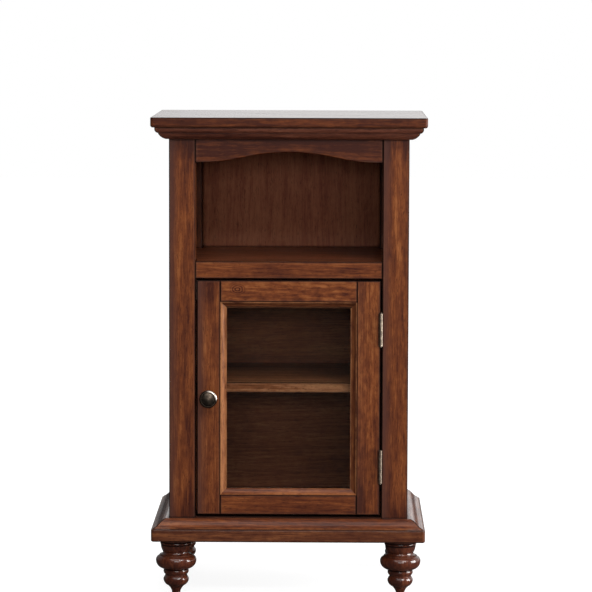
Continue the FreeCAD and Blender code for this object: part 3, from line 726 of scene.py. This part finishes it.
@dataclass(frozen=True)
class Metal:
    """Plated or patinated metal with fine brushing and worn high spots."""

    base: Colour
    worn: Colour
    roughness: float
    metallic: float = 1.0
    cloud: float = 6 * MM
    cloud_share: float = 0.7
    cloud_detail: float = 3.0
    scratch: float = 0.35 * MM
    scratch_dull: float = 0.2
    relief: float = 0.03 * MM
    relief_strength: float = 0.3
    wear_step: Span = (0.42, 0.68)
    grime_and_shade: float = 0.85
    grime_reach: float = 4 * MM
    grime_sky: Span = (0.85, 0.45)
    rim_dark: Span = (0.8, 0.94)
    rim_start: Span = (0.74, 0.84)
    rim_end: Span = (1.0, 0.94)
    rim_corner: Span = (0.3, 0.62)
    rim_polish: float = 0.12

    def material(self, name: str, round_node: str = "") -> bpy.types.Material:
        """Metal with clouded colour, a brushed gloss and a fine relief.

        Grime and painted shade darken what sees little open sky. A round piece that points along Y has a
        painted dark rim, at a distance from its axis of r = sqrt(x^2 + z^2), and a painted highlight at its
        upper right, where it is also glossier.

        Args:
            name: The material's name.
            round_node: The round piece with a painted dark rim and highlight, if it is one.

        Returns:
            The material.
        """
        material, graph = new_material(name)
        place = graph.place()
        cloud = graph.noise([part / self.cloud for part in place], self.cloud_detail)
        lengths = (self.scratch, self.scratch, self.cloud)
        brush = graph.noise([part / length for part, length in zip(place, lengths)])
        wear = (cloud * self.cloud_share + brush * (1 - self.cloud_share)).rise(*self.wear_step)
        colour = graph.mix(wear, self.base, self.worn)
        roughness = self.roughness + (brush - 0.5) * self.scratch_dull
        if round_node:
            low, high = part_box(round_node)
            side, up = place[0] - (low.x + high.x) / 2, place[2] - (low.z + high.z) / 2
            reach = (side * side + up * up).root() / ((high.x - low.x) / 2)
            # painted highlight: the rim's upper right, where it faces the lamps
            lit_corner = ((side + up) / (high.x - low.x)).rise(*self.rim_corner)
            rim = reach.rise(*self.rim_start) * reach.rise(*self.rim_end) * lit_corner
            # painted shade: the outer rim darker
            colour = graph.mix(reach.rise(*self.rim_dark) * self.grime_and_shade, colour, GRIME_AND_SHADE)
            colour = graph.mix(rim, colour, RIM_HIGHLIGHT)
            roughness = roughness - rim * self.rim_polish
        # grime and painted shade where little open sky is seen
        hollows = graph.open_sky(self.grime_reach).rise(*self.grime_sky)
        colour = graph.mix(hollows * self.grime_and_shade, colour, GRIME_AND_SHADE)
        graph.close(graph.principled(
            Base_Color=colour, Metallic=self.metallic, Roughness=roughness,
            Normal=graph.bump(brush, self.relief, self.relief_strength)))
        return material


@dataclass(frozen=True)
class MouldedPlastic:
    """Matte moulded plastic with a fine spark-eroded grain."""

    base: Colour
    scuffed: Colour
    roughness: float = 0.5
    grain: float = 0.5 * MM
    grain_dull: float = 0.15
    relief: float = 0.05 * MM
    relief_strength: float = 0.4
    scuff: float = 7 * MM
    scuff_detail: float = 4.0
    scuff_step: Span = (0.5, 0.75)

    def material(self, name: str) -> bpy.types.Material:
        """Plastic with a grained relief and faint scuffs.

        Args:
            name: The material's name.

        Returns:
            The material.
        """
        material, graph = new_material(name)
        place = graph.place()
        grain = graph.noise([part / self.grain for part in place])
        scuff = graph.noise([part / self.scuff for part in place], self.scuff_detail).rise(*self.scuff_step)
        graph.close(graph.principled(
            Base_Color=graph.mix(scuff, self.base, self.scuffed),
            Roughness=self.roughness + grain * self.grain_dull,
            Normal=graph.bump(grain, self.relief, self.relief_strength)))
        return material


@dataclass(frozen=True)
class ClearGlass:
    """Thin float glass: clear, faintly green, with wiped smears in its reflection."""

    body: Colour
    index: float = 1.4
    roughness: float = 0.02
    smear: float = 30 * MM
    smear_detail: float = 3.0
    smear_step: Span = (0.45, 0.75)
    smear_dull: float = 0.12

    def material(self, name: str) -> bpy.types.Material:
        """Glass that lets light straight through and mirrors more of it at a glance, on its outer faces.

        Args:
            name: The material's name.

        Returns:
            The material.
        """
        material, graph = new_material(name)
        spot = [part / self.smear for part in graph.place()]
        smears = graph.noise(spot, self.smear_detail).rise(*self.smear_step)
        through = graph.node("ShaderNodeBsdfTransparent", {}, {"Color": self.body})
        roughness = smears * self.smear_dull + self.roughness
        mirror = graph.principled(Base_Color=grey(1.0), Metallic=1.0, Roughness=roughness)
        share = graph.node("ShaderNodeFresnel", {}, {"IOR": self.index})
        shade = graph.node("ShaderNodeLightPath", output="Is Shadow Ray")
        inside = graph.node("ShaderNodeNewGeometry", output="Backfacing")
        share = share * (1 - shade) * (1 - inside)
        graph.close(graph.node("ShaderNodeMixShader", {}, {0: share, 1: through, 2: mirror}))
        return material


SHOW_WOOD = StainedWood(dark=tint(58, 24, 13), middle=tint(90, 44, 21), warm=tint(110, 58, 27),
                        pale=tint(136, 80, 42), pore=tint(30, 11, 7), glaze=tint(18, 6, 4),
                        rubbed=tint(154, 103, 66), toner_and_shade_colour=tint(72, 42, 34), roughness=0.42, coat=0.4)
MOULDED_WOOD = replace(SHOW_WOOD, dark=tint(56, 26, 20), middle=tint(82, 43, 30), warm=tint(98, 55, 40),
                       pale=tint(126, 80, 58))
POLISHED_WOOD = replace(SHOW_WOOD, coat=0.1, top_coat=0.7)
BROWN_WOOD = replace(SHOW_WOOD, middle=tint(85, 45, 26), warm=tint(104, 59, 33), pale=tint(142, 91, 56))
# the strips' pale arrises are painted highlights on their rounded edges
STRIP_WOOD = replace(BROWN_WOOD, coat=0.03, rub=0.5)
BASE_WOOD = replace(SHOW_WOOD, hollow_reach=13 * MM)
SHINY_WOOD = replace(SHOW_WOOD, coat=0.75)
INNER_WOOD = replace(SHOW_WOOD, warm=tint(116, 62, 38), pale=tint(150, 94, 66), coat=0.1)
TURNED_WOOD = replace(SHOW_WOOD, dark=tint(48, 19, 12), middle=tint(67, 30, 18), warm=tint(86, 42, 25),
                      pale=tint(100, 54, 33), pore=tint(22, 8, 5), coat=1.0, hollow_reach=11 * MM)
HIDDEN_WOOD = StainedWood(dark=tint(86, 39, 24), middle=tint(110, 55, 34), warm=tint(124, 67, 43),
                          pale=tint(140, 84, 56), pore=tint(56, 25, 16), glaze=tint(34, 14, 9),
                          rubbed=tint(140, 86, 58), toner_and_shade_colour=tint(72, 36, 24), roughness=0.5, coat=0.05)
BRONZE = Metal(base=tint(66, 58, 51), worn=tint(102, 90, 78), roughness=0.4)
NICKEL = Metal(base=tint(112, 100, 88), worn=tint(156, 142, 126), roughness=0.38)
ZINC = Metal(base=tint(158, 158, 156), worn=tint(190, 188, 180), roughness=0.36)
BROWNED = Metal(base=tint(58, 48, 40), worn=tint(88, 76, 64), roughness=0.5)
IRON = Metal(base=tint(92, 92, 95), worn=tint(140, 140, 142), roughness=0.45)
GLIDE = MouldedPlastic(base=tint(48, 38, 32), scuffed=tint(84, 72, 62))
CATCH = MouldedPlastic(base=tint(86, 52, 33), scuffed=tint(116, 80, 58))
GLASS = ClearGlass(body=(0.94, 0.985, 0.955, 1.0))


def pair(name: str) -> tuple[str, str]:
    """Names of the left and the right one of two nodes."""
    return f"{name}_{SIDES[0]}", f"{name}_{SIDES[1]}"


def dress(node: str, material: bpy.types.Material) -> None:
    """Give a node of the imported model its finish.

    Args:
        node: The node's name.
        material: What covers it.
    """
    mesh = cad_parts[node].data
    mesh.materials.clear()
    mesh.materials.append(material)
    log.info("dressed %s", node)


@dataclass
class Surface:
    """Points with the faces between them, worked out as whole arrays."""

    points: np.ndarray
    quads: np.ndarray
    triangles: np.ndarray

    def placed(self, origin: Vector, normal: Vector, spin: float) -> "Surface":
        """Copy that is stood on a point.

        Args:
            origin: Where its own origin goes.
            normal: Where its own +Z points.
            spin: Turn about that direction, in radians.

        Returns:
            The moved surface.
        """
        turn = normal.to_track_quat("Z", "Y").to_matrix() @ Matrix.Rotation(spin, 3, "Z")
        points = self.points @ np.array(turn).T + np.array(origin)
        return Surface(points, self.quads, self.triangles)

    @staticmethod
    def joined(surfaces: list["Surface"]) -> "Surface":
        """One surface from several.

        Args:
            surfaces: What to join.

        Returns:
            All their points and faces.
        """
        starts = np.cumsum([0] + [len(surface.points) for surface in surfaces[:-1]])
        numbered = list(zip(surfaces, starts))
        return Surface(np.concatenate([surface.points for surface in surfaces]),
                       np.concatenate([surface.quads + start for surface, start in numbered]),
                       np.concatenate([surface.triangles + start for surface, start in numbered]))

    def piece(self, name: str, material: bpy.types.Material, body: str, slot: str) -> bpy.types.Object:
        """Mesh object of the surface, riding on a body.

        Args:
            name: The piece's name.
            material: What covers it.
            body: The body that it moves with.
            slot: Not used.

        Returns:
            The object.
        """
        mesh = bpy.data.meshes.new(name)
        mesh.from_pydata(self.points.tolist(), [], self.quads.tolist() + self.triangles.tolist())
        mesh.shade_smooth()
        mesh.set_sharp_from_angle(angle=SHARP_ANGLE)
        mesh.materials.append(material)
        piece = bpy.data.objects.new(name, mesh)
        bpy.context.scene.collection.objects.link(piece)
        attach(piece, body)
        log.info("built %s with %d points on %s", name, len(self.points), body)
        return piece


def between_poles(radii: np.ndarray, heights: np.ndarray) -> Surface:
    """Closed surface round Z: rows of a round grid between a top and a bottom pole.

    Row i and column j give the point (r cos a, r sin a, h) with r = radii[i], h = heights[i, j] and
    a = 2 pi j / columns. The first and the last row shrink to one point each.

    Args:
        radii: Radius of each row, 0 in the first and the last.
        heights: Height of each point.

    Returns:
        The surface, facing outwards.
    """
    rows, columns = heights.shape
    angle = 2 * np.pi * np.arange(columns) / columns
    ring = np.stack([np.cos(angle), np.sin(angle)], axis=-1)
    points = np.concatenate([radii[:, None, None] * ring[None], heights[:, :, None]], axis=-1)
    inner = points[1:-1].reshape(-1, 3)
    poles = np.array([points[0, 0], points[-1, 0]])
    number = np.arange((rows - 2) * columns).reshape(rows - 2, columns)
    turned = np.roll(number, -1, axis=1)
    quads = np.stack([number[:-1], number[1:], turned[1:], turned[:-1]], axis=-1).reshape(-1, 4)
    top = np.full(columns, inner.shape[0])
    cap = np.stack([top, number[0], turned[0]], axis=-1)
    foot = np.stack([top + 1, turned[-1], number[-1]], axis=-1)
    return Surface(np.concatenate([inner, poles]), quads, np.concatenate([cap, foot]))


@dataclass(frozen=True)
class ScrewHead:
    """Screw head with a cross recess, standing on the surface that it holds."""

    radius: float
    dome: float
    sink: float
    slot_width: float = 0.28
    slot_length: float = 0.62
    wall_slope: float = 0.12
    end_slope: float = 0.25
    recess: float = 1.1 * MM
    rows: int = 26
    columns: int = 64

    def surface(self) -> Surface:
        """Head as a closed round grid.

        The radius grows from 0 to the rim and the height is a dome, h = dome (1 - s^2) for the share s of
        the radius, less a cross whose two arms are smooth steps across and along each arm. The rim then
        goes down by the sink and closes underneath.

        Returns:
            The head, with Z away from the surface.
        """
        share = np.concatenate([np.linspace(0, 1, self.rows), [1.0, 0.0]])
        angle = 2 * np.pi * np.arange(self.columns) / self.columns
        across = share[:, None] * np.cos(angle)[None]
        along = share[:, None] * np.sin(angle)[None]
        arms = np.maximum(self.arm(across, along), self.arm(along, across))
        heights = self.dome * (1 - share[:, None] ** 2) - self.recess * arms
        heights[-2:] = -self.sink
        heights[0] = heights[0, 0]
        return between_poles(share * self.radius, heights)

    def arm(self, across: np.ndarray, along: np.ndarray) -> np.ndarray:
        """Depth share of one arm of the cross.

        Args:
            across: Distance across the arm, in radii.
            along: Distance along the arm, in radii.

        Returns:
            1 in the arm, 0 outside it, with sloped walls.
        """
        half = (self.slot_width + self.wall_slope) / 2
        wall = np.clip((half - np.abs(across)) / self.wall_slope, 0, 1)
        end = np.clip((self.slot_length - np.abs(along)) / self.end_slope, 0, 1)
        return wall * end


class Assembly:
    """Some of the table's pieces, dressed and built together."""

    def dress(self) -> None:
        """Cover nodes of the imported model, if it has any."""

    def build(self) -> None:
        """Add pieces of its own, if it has any."""


@dataclass
class Case(Assembly):
    """Posts, rails, panels, boards and mouldings."""

    boards: tuple[str, ...] = (
        "top_panel", *pair("front_post"), *pair("rear_post"), "mid_rail", *pair("side_top_rail"),
        *pair("side_bottom_rail"), *pair("side_panel"), "niche_floor", "cabinet_floor", "inner_shelf",
        "base_board", "frieze_rail")
    shaped: tuple[str, ...] = (
        "cornice_front", *pair("cornice"), "base_moulding_front", *pair("base_moulding"))
    hidden: tuple[str, ...] = (
        "rear_top_rail", "back_panel", *pair("niche_bearer"), *pair("top_cleat"))
    # tone shift per board; the right front post and the base board are darker as painted shade
    tone_shifts: dict[str, float] = field(default_factory=lambda: {
        "top_panel": -0.3, "inner_shelf": 0.2, "frieze_rail": -0.33, "cornice_front": -0.03,
        "base_moulding_front": -0.13, "base_moulding_left": -0.2, "base_moulding_right": -0.2,
        "base_board": -0.05, "front_post_right": -0.08, "mid_rail": -0.03})
    finishes: dict[str, StainedWood] = field(default_factory=lambda: {
        "top_panel": POLISHED_WOOD, "niche_floor": INNER_WOOD, "cabinet_floor": INNER_WOOD,
        "inner_shelf": INNER_WOOD, "base_moulding_left": SHINY_WOOD, "base_moulding_right": SHINY_WOOD,
        "cornice_front": MOULDED_WOOD, "cornice_left": MOULDED_WOOD, "cornice_right": MOULDED_WOOD,
        "base_moulding_front": BASE_WOOD, "base_board": BROWN_WOOD})
    # posts darker at both ends: painted shade under the cornice and towards the base
    darkened_ends: tuple[float, float] = (0.45, 0.42)
    # painted shade down the left side of the posts
    painted_shade: float = 0.95
    uprights: dict[str, tuple[str, str]] = field(default_factory=lambda: {
        "mid_rail": pair("front_post"), "frieze_rail": pair("front_post"),
        **{f"side_{level}_rail_{side}": (f"front_post_{side}", f"rear_post_{side}")
           for level in ("top", "bottom") for side in SIDES}})

    def dress(self) -> None:
        """Cover every board with its own piece of wood."""
        for number, node in enumerate(self.boards + self.shaped):
            form = Form.SHAPED if node in self.shaped else Form.BOARD
            front = f"{node.rsplit('_', 1)[0]}_front" if node in self.shaped else None
            board = Board(node, form, number, self.tone_shifts.get(node, 0.0), between=self.uprights.get(node),
                          mitred_to=front)
            if "post" in node:
                board = replace(board, darkened_ends=self.darkened_ends, painted_shade=self.painted_shade)
            dress(node, self.finishes.get(node, SHOW_WOOD).material(board))
        for number, node in enumerate(self.hidden, len(self.boards) + len(self.shaped)):
            level = "niche_floor" if node == "back_panel" else None
            dress(node, HIDDEN_WOOD.material(Board(node, Form.BOARD, number, level_below=level)))
        dress("shelf_pins", BROWNED.material("pin_browned"))


@dataclass
class Feet(Assembly):
    """Turned feet with their bolts and glides."""

    names: tuple[str, ...] = pair("foot_front") + pair("foot_rear")
    first_number: int = 40
    grooves: tuple[float, ...] = (5 * MM, 9.5 * MM)

    def dress(self) -> None:
        """Cover the feet with wood that holds glaze and painted shade in its grooves."""
        for number, node in enumerate(self.names, self.first_number):
            dress(node, TURNED_WOOD.material(Board(node, Form.SHAPED, number, scored=self.grooves)))
        dress("foot_bolts", ZINC.material("bolt_zinc"))
        dress("foot_glides", GLIDE.material("glide_plastic"))


@dataclass
class Door(Assembly):
    """Glazed door with its knob."""

    stiles: tuple[str, str] = pair("door_stile")
    rails: tuple[str, str] = ("door_rail_bottom", "door_rail_top")
    strips: tuple[str, ...] = ("glazing_bevel", "glass_bead")
    sides: tuple[str, ...] = SIDES + ("bottom", "top")
    glossy: tuple[str, ...] = ("glazing_bevel_bottom",)
    # tone shift per board: the left bevel paler as painted light, the top and right bevels and the bottom
    # rail darker as painted shade
    tone_shifts: dict[str, float] = field(default_factory=lambda: {
        "door_rail_top": 0.09, "door_stile_left": 0.06, "door_stile_right": 0.05, "door_rail_bottom": -0.06,
        "glazing_bevel_left": 0.31, "glazing_bevel_top": -0.04, "glazing_bevel_right": -0.03})
    # stiles darker towards their ends
    darkened_ends: dict[str, tuple[float, float]] = field(default_factory=lambda: {
        "door_stile_left": (0.08, 0.2), "door_stile_right": (0.2, 0.0)})
    # painted shade down the left side of the stiles and under the lip of the top bevel
    painted_shade: dict[str, float] = field(default_factory=lambda: {
        "door_stile_left": 0.95, "door_stile_right": 0.3, "glazing_bevel_top": 0.8})
    figures: dict[str, float] = field(default_factory=lambda: {
        "door_rail_top": 1.1, "door_stile_right": 0.8})
    knots: dict[str, tuple[float, float]] = field(default_factory=lambda: {
        "door_rail_top": (0.126, 0.6)})
    first_number: int = 50

    def dress(self) -> None:
        """Cover the frame, the strips round the glass, the pane and the knob."""
        frame_boards = self.stiles + self.rails
        strips = tuple(f"{strip}_{side}" for strip in self.strips for side in self.sides)
        for number, node in enumerate(frame_boards, self.first_number):
            board = Board(node, Form.BOARD, number, self.tone_shifts.get(node, 0.0),
                          self.darkened_ends.get(node, (0.0, 0.0)), self.painted_shade.get(node, 0.0),
                          between=self.stiles if node in self.rails else None,
                          figure=self.figures.get(node, Board.figure), knot=self.knots.get(node))
            dress(node, SHOW_WOOD.material(board))
        for number, node in enumerate(strips, self.first_number + len(frame_boards)):
            finish = SHOW_WOOD if node in self.glossy else STRIP_WOOD
            board = Board(node, Form.SHAPED, number, self.tone_shifts.get(node, 0.0),
                          painted_shade=self.painted_shade.get(node, 0.0))
            dress(node, finish.material(board))
        dress("glass_pane", GLASS.material("clear_glass"))
        dress("knob", BRONZE.material("knob_bronze", "knob"))
        dress("knob_screw", ZINC.material("screw_zinc"))


@dataclass
class Hinges(Assembly):
    """Two butt hinges and their screws."""

    levels: tuple[str, ...] = ("upper", "lower")
    head: ScrewHead = ScrewHead(radius=2.9 * MM, dome=0.25 * MM, sink=0.2 * MM)
    rows: int = 3
    insets: tuple[float, float] = (9 * MM, 5 * MM)
    first_spin: float = 0.5
    spin_step: float = 0.9

    def dress(self) -> None:
        """Cover leaves and pins with nickel."""
        nickel = NICKEL.material("hinge_nickel")
        for level in self.levels:
            for part in ("frame_leaf", "door_leaf", "pin"):
                dress(f"hinge_{level}_{part}", nickel)

    def build(self) -> None:
        """Three countersunk screws in each leaf, in a zigzag, on the face that meets the other leaf."""
        material = NICKEL.material("hinge_screw_nickel")
        for part, body, way in (("frame_leaf", "case", -1), ("door_leaf", "door", 1)):
            leaves = [f"hinge_{level}_{part}" for level in self.levels]
            heads = [head for leaf in leaves for head in self.leaf_heads(leaf, way)]
            Surface.joined(heads).piece(f"hinge_screws_{body}", material, body, "hinge_steel")

    def leaf_heads(self, node: str, way: int) -> list[Surface]:
        """Screw heads of one leaf.

        Args:
            node: The leaf.
            way: Side of the leaf that shows, along X.

        Returns:
            The placed heads.
        """
        low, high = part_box(node)
        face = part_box("front_post_right")[0].x if way < 0 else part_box("door_stile_right")[1].x
        pitch = (high.z - low.z) / self.rows
        heads = []
        for row in range(self.rows):
            spot = Vector((face, high.y - self.insets[row % 2], low.z + (row + 0.5) * pitch))
            spin = self.first_spin + self.spin_step * row
            heads.append(self.head.surface().placed(spot, Vector((way, 0, 0)), spin))
        return heads


@dataclass
class Catch(Assembly):
    """Magnetic catch in the case and its strike on the door."""

    head: ScrewHead = ScrewHead(radius=2.4 * MM, dome=0.9 * MM, sink=0.2 * MM)
    setback: float = 3 * MM
    end: float = 6 * MM
    spin: float = 0.4

    def dress(self) -> None:
        """Cover the housing, the magnet and the strike."""
        dress("catch_housing", CATCH.material("catch_plastic"))
        dress("catch_magnet", IRON.material("magnet_iron"))
        dress("catch_strike", ZINC.material("strike_zinc"))

    def build(self) -> None:
        """Screws that hold the housing to the post and the strike to the stile."""
        zinc = ZINC.material("catch_screw_zinc")
        low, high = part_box("catch_housing")
        y = (low.y + high.y) / 2 + self.setback
        spots = [Vector((high.x, y, z)) for z in (low.z + self.end, high.z - self.end)]
        heads = [self.head.surface().placed(spot, Vector((1, 0, 0)), self.spin + spot.z) for spot in spots]
        Surface.joined(heads).piece("catch_screws", zinc, "case", "zinc_steel")


@dataclass
class CaseScrews(Assembly):
    """Screws that hold the back panel and the top."""

    head: ScrewHead = ScrewHead(radius=3.4 * MM, dome=1.5 * MM, sink=0.2 * MM)
    edge: float = 5 * MM
    panel_end: float = 35 * MM
    cleat_end: float = 40 * MM
    per_side: int = 5
    per_cleat: int = 3
    panel_spin: float = 7.0
    cleat_spin: float = 9.0

    def build(self) -> None:
        """Pan heads down both sides of the back panel and under the cleats."""
        zinc = ZINC.material("case_screw_zinc")
        low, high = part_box("back_panel")
        levels = np.linspace(low.z + self.panel_end, high.z - self.panel_end, self.per_side)
        spots = [Vector((x, high.y, z)) for x in (low.x + self.edge, high.x - self.edge) for z in levels]
        heads = [self.head.surface().placed(spot, Vector((0, 1, 0)), self.panel_spin * spot.z)
                 for spot in spots]
        Surface.joined(heads).piece("back_screws", zinc, "case", "zinc_steel")
        heads = []
        for cleat in pair("top_cleat"):
            low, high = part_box(cleat)
            for y in np.linspace(low.y + self.cleat_end, high.y - self.cleat_end, self.per_cleat):
                spot = Vector(((low.x + high.x) / 2, y, low.z))
                heads.append(self.head.surface().placed(spot, Vector((0, 0, -1)), self.cleat_spin * y))
        Surface.joined(heads).piece("cleat_screws", zinc, "case", "zinc_steel")


@dataclass(frozen=True)
class Lamp:
    """Soft rectangular lamp: its place and size in metres and its power in watts."""

    name: str
    place: Point
    size: tuple[float, float]
    power: float

    def hang(self, aim: Point) -> None:
        """Add the lamp to the scene.

        Args:
            aim: What it looks at.
        """
        light = bpy.data.lights.new(self.name, "AREA")
        light.shape = "RECTANGLE"
        light.size, light.size_y = self.size
        light.energy = self.power
        lamp = bpy.data.objects.new(self.name, light)
        lamp.location = self.place
        lamp.rotation_euler = (Vector(aim) - Vector(self.place)).to_track_quat("-Z", "Y").to_euler()
        bpy.context.scene.collection.objects.link(lamp)


@dataclass
class Studio(Assembly):
    """Pale floor, soft lamps, white surroundings and the camera."""

    lamps: tuple[Lamp, ...] = (
        Lamp("overhead", (0.3, -1.5, 3.2), (4.5, 4.5), 115.0),
        Lamp("side", (2.8, -0.45, 0.8), (1.6, 1.6), 130.0),
        Lamp("key", (1.5, -2.8, 2.3), (1.3, 0.3), 31.0),
        Lamp("fill", (0.5, -5.2, 1.25), (2.8, 0.7), 66.0),
        Lamp("rear", (0.2, 3.0, 2.9), (1.5, 1.5), 50.0))
    lamp_aim: Point = (0.0, 0.0, 0.4)
    image_width: int = 592
    focal_pixels: float = 3162.0
    sensor: float = 36.0
    camera_place: Point = (0.0725, -5.292, 0.9835)
    yaw: float = math.radians(0.676)
    pitch: float = math.radians(5.389)
    roll: float = math.radians(0.173)
    floor_rings: tuple[float, ...] = (0.0, 0.5, 2.0, 12.0, 12.0, 0.0)
    floor_columns: int = 96
    floor_thickness: float = 0.02
    floor_near: float = 0.9
    floor_fade: Span = (0.5, 1.3)
    floor_roughness: float = 0.9
    floor_matte: float = 0.25
    floor_mirrored: float = 0.06
    ambient: float = 0.15
    dim_front: float = 0.04
    bright_back: float = 0.85
    left_share: float = 0.24
    left_fade: Span = (-0.16, -0.03)
    back_fade: Span = (-0.15, 0.35)
    horizon_fade: Span = (-0.03, 0.045)

    def build(self) -> None:
        """Set the stage and the view."""
        self.floor()
        for lamp in self.lamps:
            lamp.hang(self.lamp_aim)
        self.world()
        self.camera()
        bpy.context.scene.view_settings.view_transform = "Standard"

    def floor(self) -> None:
        """Round floor: rings of points at z = 0, white to the eye but shaded by the table."""
        heights = np.zeros((len(self.floor_rings), self.floor_columns))
        heights[-2:] = -self.floor_thickness
        surface = between_poles(np.array(self.floor_rings), heights)
        mesh = bpy.data.meshes.new("floor")
        mesh.from_pydata(surface.points.tolist(), [], surface.quads.tolist() + surface.triangles.tolist())
        floor = bpy.data.objects.new("floor", mesh)
        bpy.context.scene.collection.objects.link(floor)
        material, graph = new_material("floor_white")
        glossy = graph.node("ShaderNodeLightPath", output="Is Glossy Ray")
        shade = graph.mix(glossy, grey(self.floor_matte), grey(self.floor_mirrored))
        matte = graph.principled(Base_Color=shade, Roughness=self.floor_roughness, Specular_IOR_Level=0.0)
        place = graph.place()
        far = (place[0] * place[0] + place[1] * place[1]).root().rise(*self.floor_fade)
        white = graph.mix(far, grey(self.floor_near), grey(1.0))
        glow = graph.node("ShaderNodeEmission", {}, {"Color": white, "Strength": 1.0})
        dark = graph.node("ShaderNodeEmission", {}, {"Color": grey(0.0), "Strength": 0.0})
        shown = graph.node("ShaderNodeMixShader", {}, {0: self.seen_rays(graph), 1: dark, 2: glow})
        graph.close(graph.node("ShaderNodeAddShader", {}, {0: matte, 1: shown}))
        mesh.materials.append(material)

    @staticmethod
    def seen_rays(graph: Graph) -> Socket:
        """1 on rays from the eye or through glass."""
        rays = [graph.node("ShaderNodeLightPath", output=name)
                for name in ("Is Camera Ray", "Is Transmission Ray")]
        return rays[0].greater(rays[1])

    def world(self) -> None:
        """White surroundings for the eye and, above the horizon, behind the table; dimmer on the rest."""
        world = bpy.data.worlds.new("studio")
        world.use_nodes = True
        bpy.context.scene.world = world
        graph = Graph(world.node_tree, "ShaderNodeOutputWorld")
        way = graph.node("ShaderNodeTexCoord", output="Generated")
        aim = [graph.node("ShaderNodeSeparateXYZ", {}, {0: way}, number) for number in range(3)]
        lit_side = self.left_share + aim[0].rise(*self.left_fade) * (1 - self.left_share)
        back = aim[1].rise(*self.back_fade) * aim[2].rise(*self.horizon_fade) * lit_side
        glossy = graph.node("ShaderNodeLightPath", output="Is Glossy Ray")
        mirrored = self.dim_front + back * (self.bright_back - self.dim_front)
        seen = self.seen_rays(graph)
        level = seen + (1 - seen) * (glossy * mirrored + (1 - glossy) * self.ambient)
        graph.close(graph.node("ShaderNodeBackground", {}, {"Color": grey(1.0), "Strength": level}))

    def camera(self) -> None:
        """Camera where the photographer stood."""
        level = math.cos(self.pitch)
        forward = Vector((-math.sin(self.yaw) * level, math.cos(self.yaw) * level, -math.sin(self.pitch)))
        right = Vector((math.cos(self.yaw), math.sin(self.yaw), 0))
        up = right.cross(forward)
        tilted_right = right * math.cos(self.roll) + up * math.sin(self.roll)
        tilted_up = up * math.cos(self.roll) - right * math.sin(self.roll)
        view = bpy.data.cameras.new("camera")
        view.sensor_width = self.sensor
        view.lens = self.sensor * self.focal_pixels / self.image_width
        camera = bpy.data.objects.new("camera", view)
        turn = Matrix((tilted_right, tilted_up, -forward)).transposed()
        camera.matrix_world = Matrix.Translation(self.camera_place) @ turn.to_4x4()
        bpy.context.scene.collection.objects.link(camera)
        bpy.context.scene.camera = camera


def main() -> None:
    """Dress the frame, add the small pieces and set the stage."""
    logging.basicConfig(level=logging.INFO, format="%(name)s: %(message)s")
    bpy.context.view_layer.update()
    assemblies: list[Assembly] = [Case(), Feet(), Door(), Hinges(), Catch(), CaseScrews(), Studio()]
    for assembly in assemblies:
        assembly.dress()
        assembly.build()


if __name__ == "__main__":
    main()
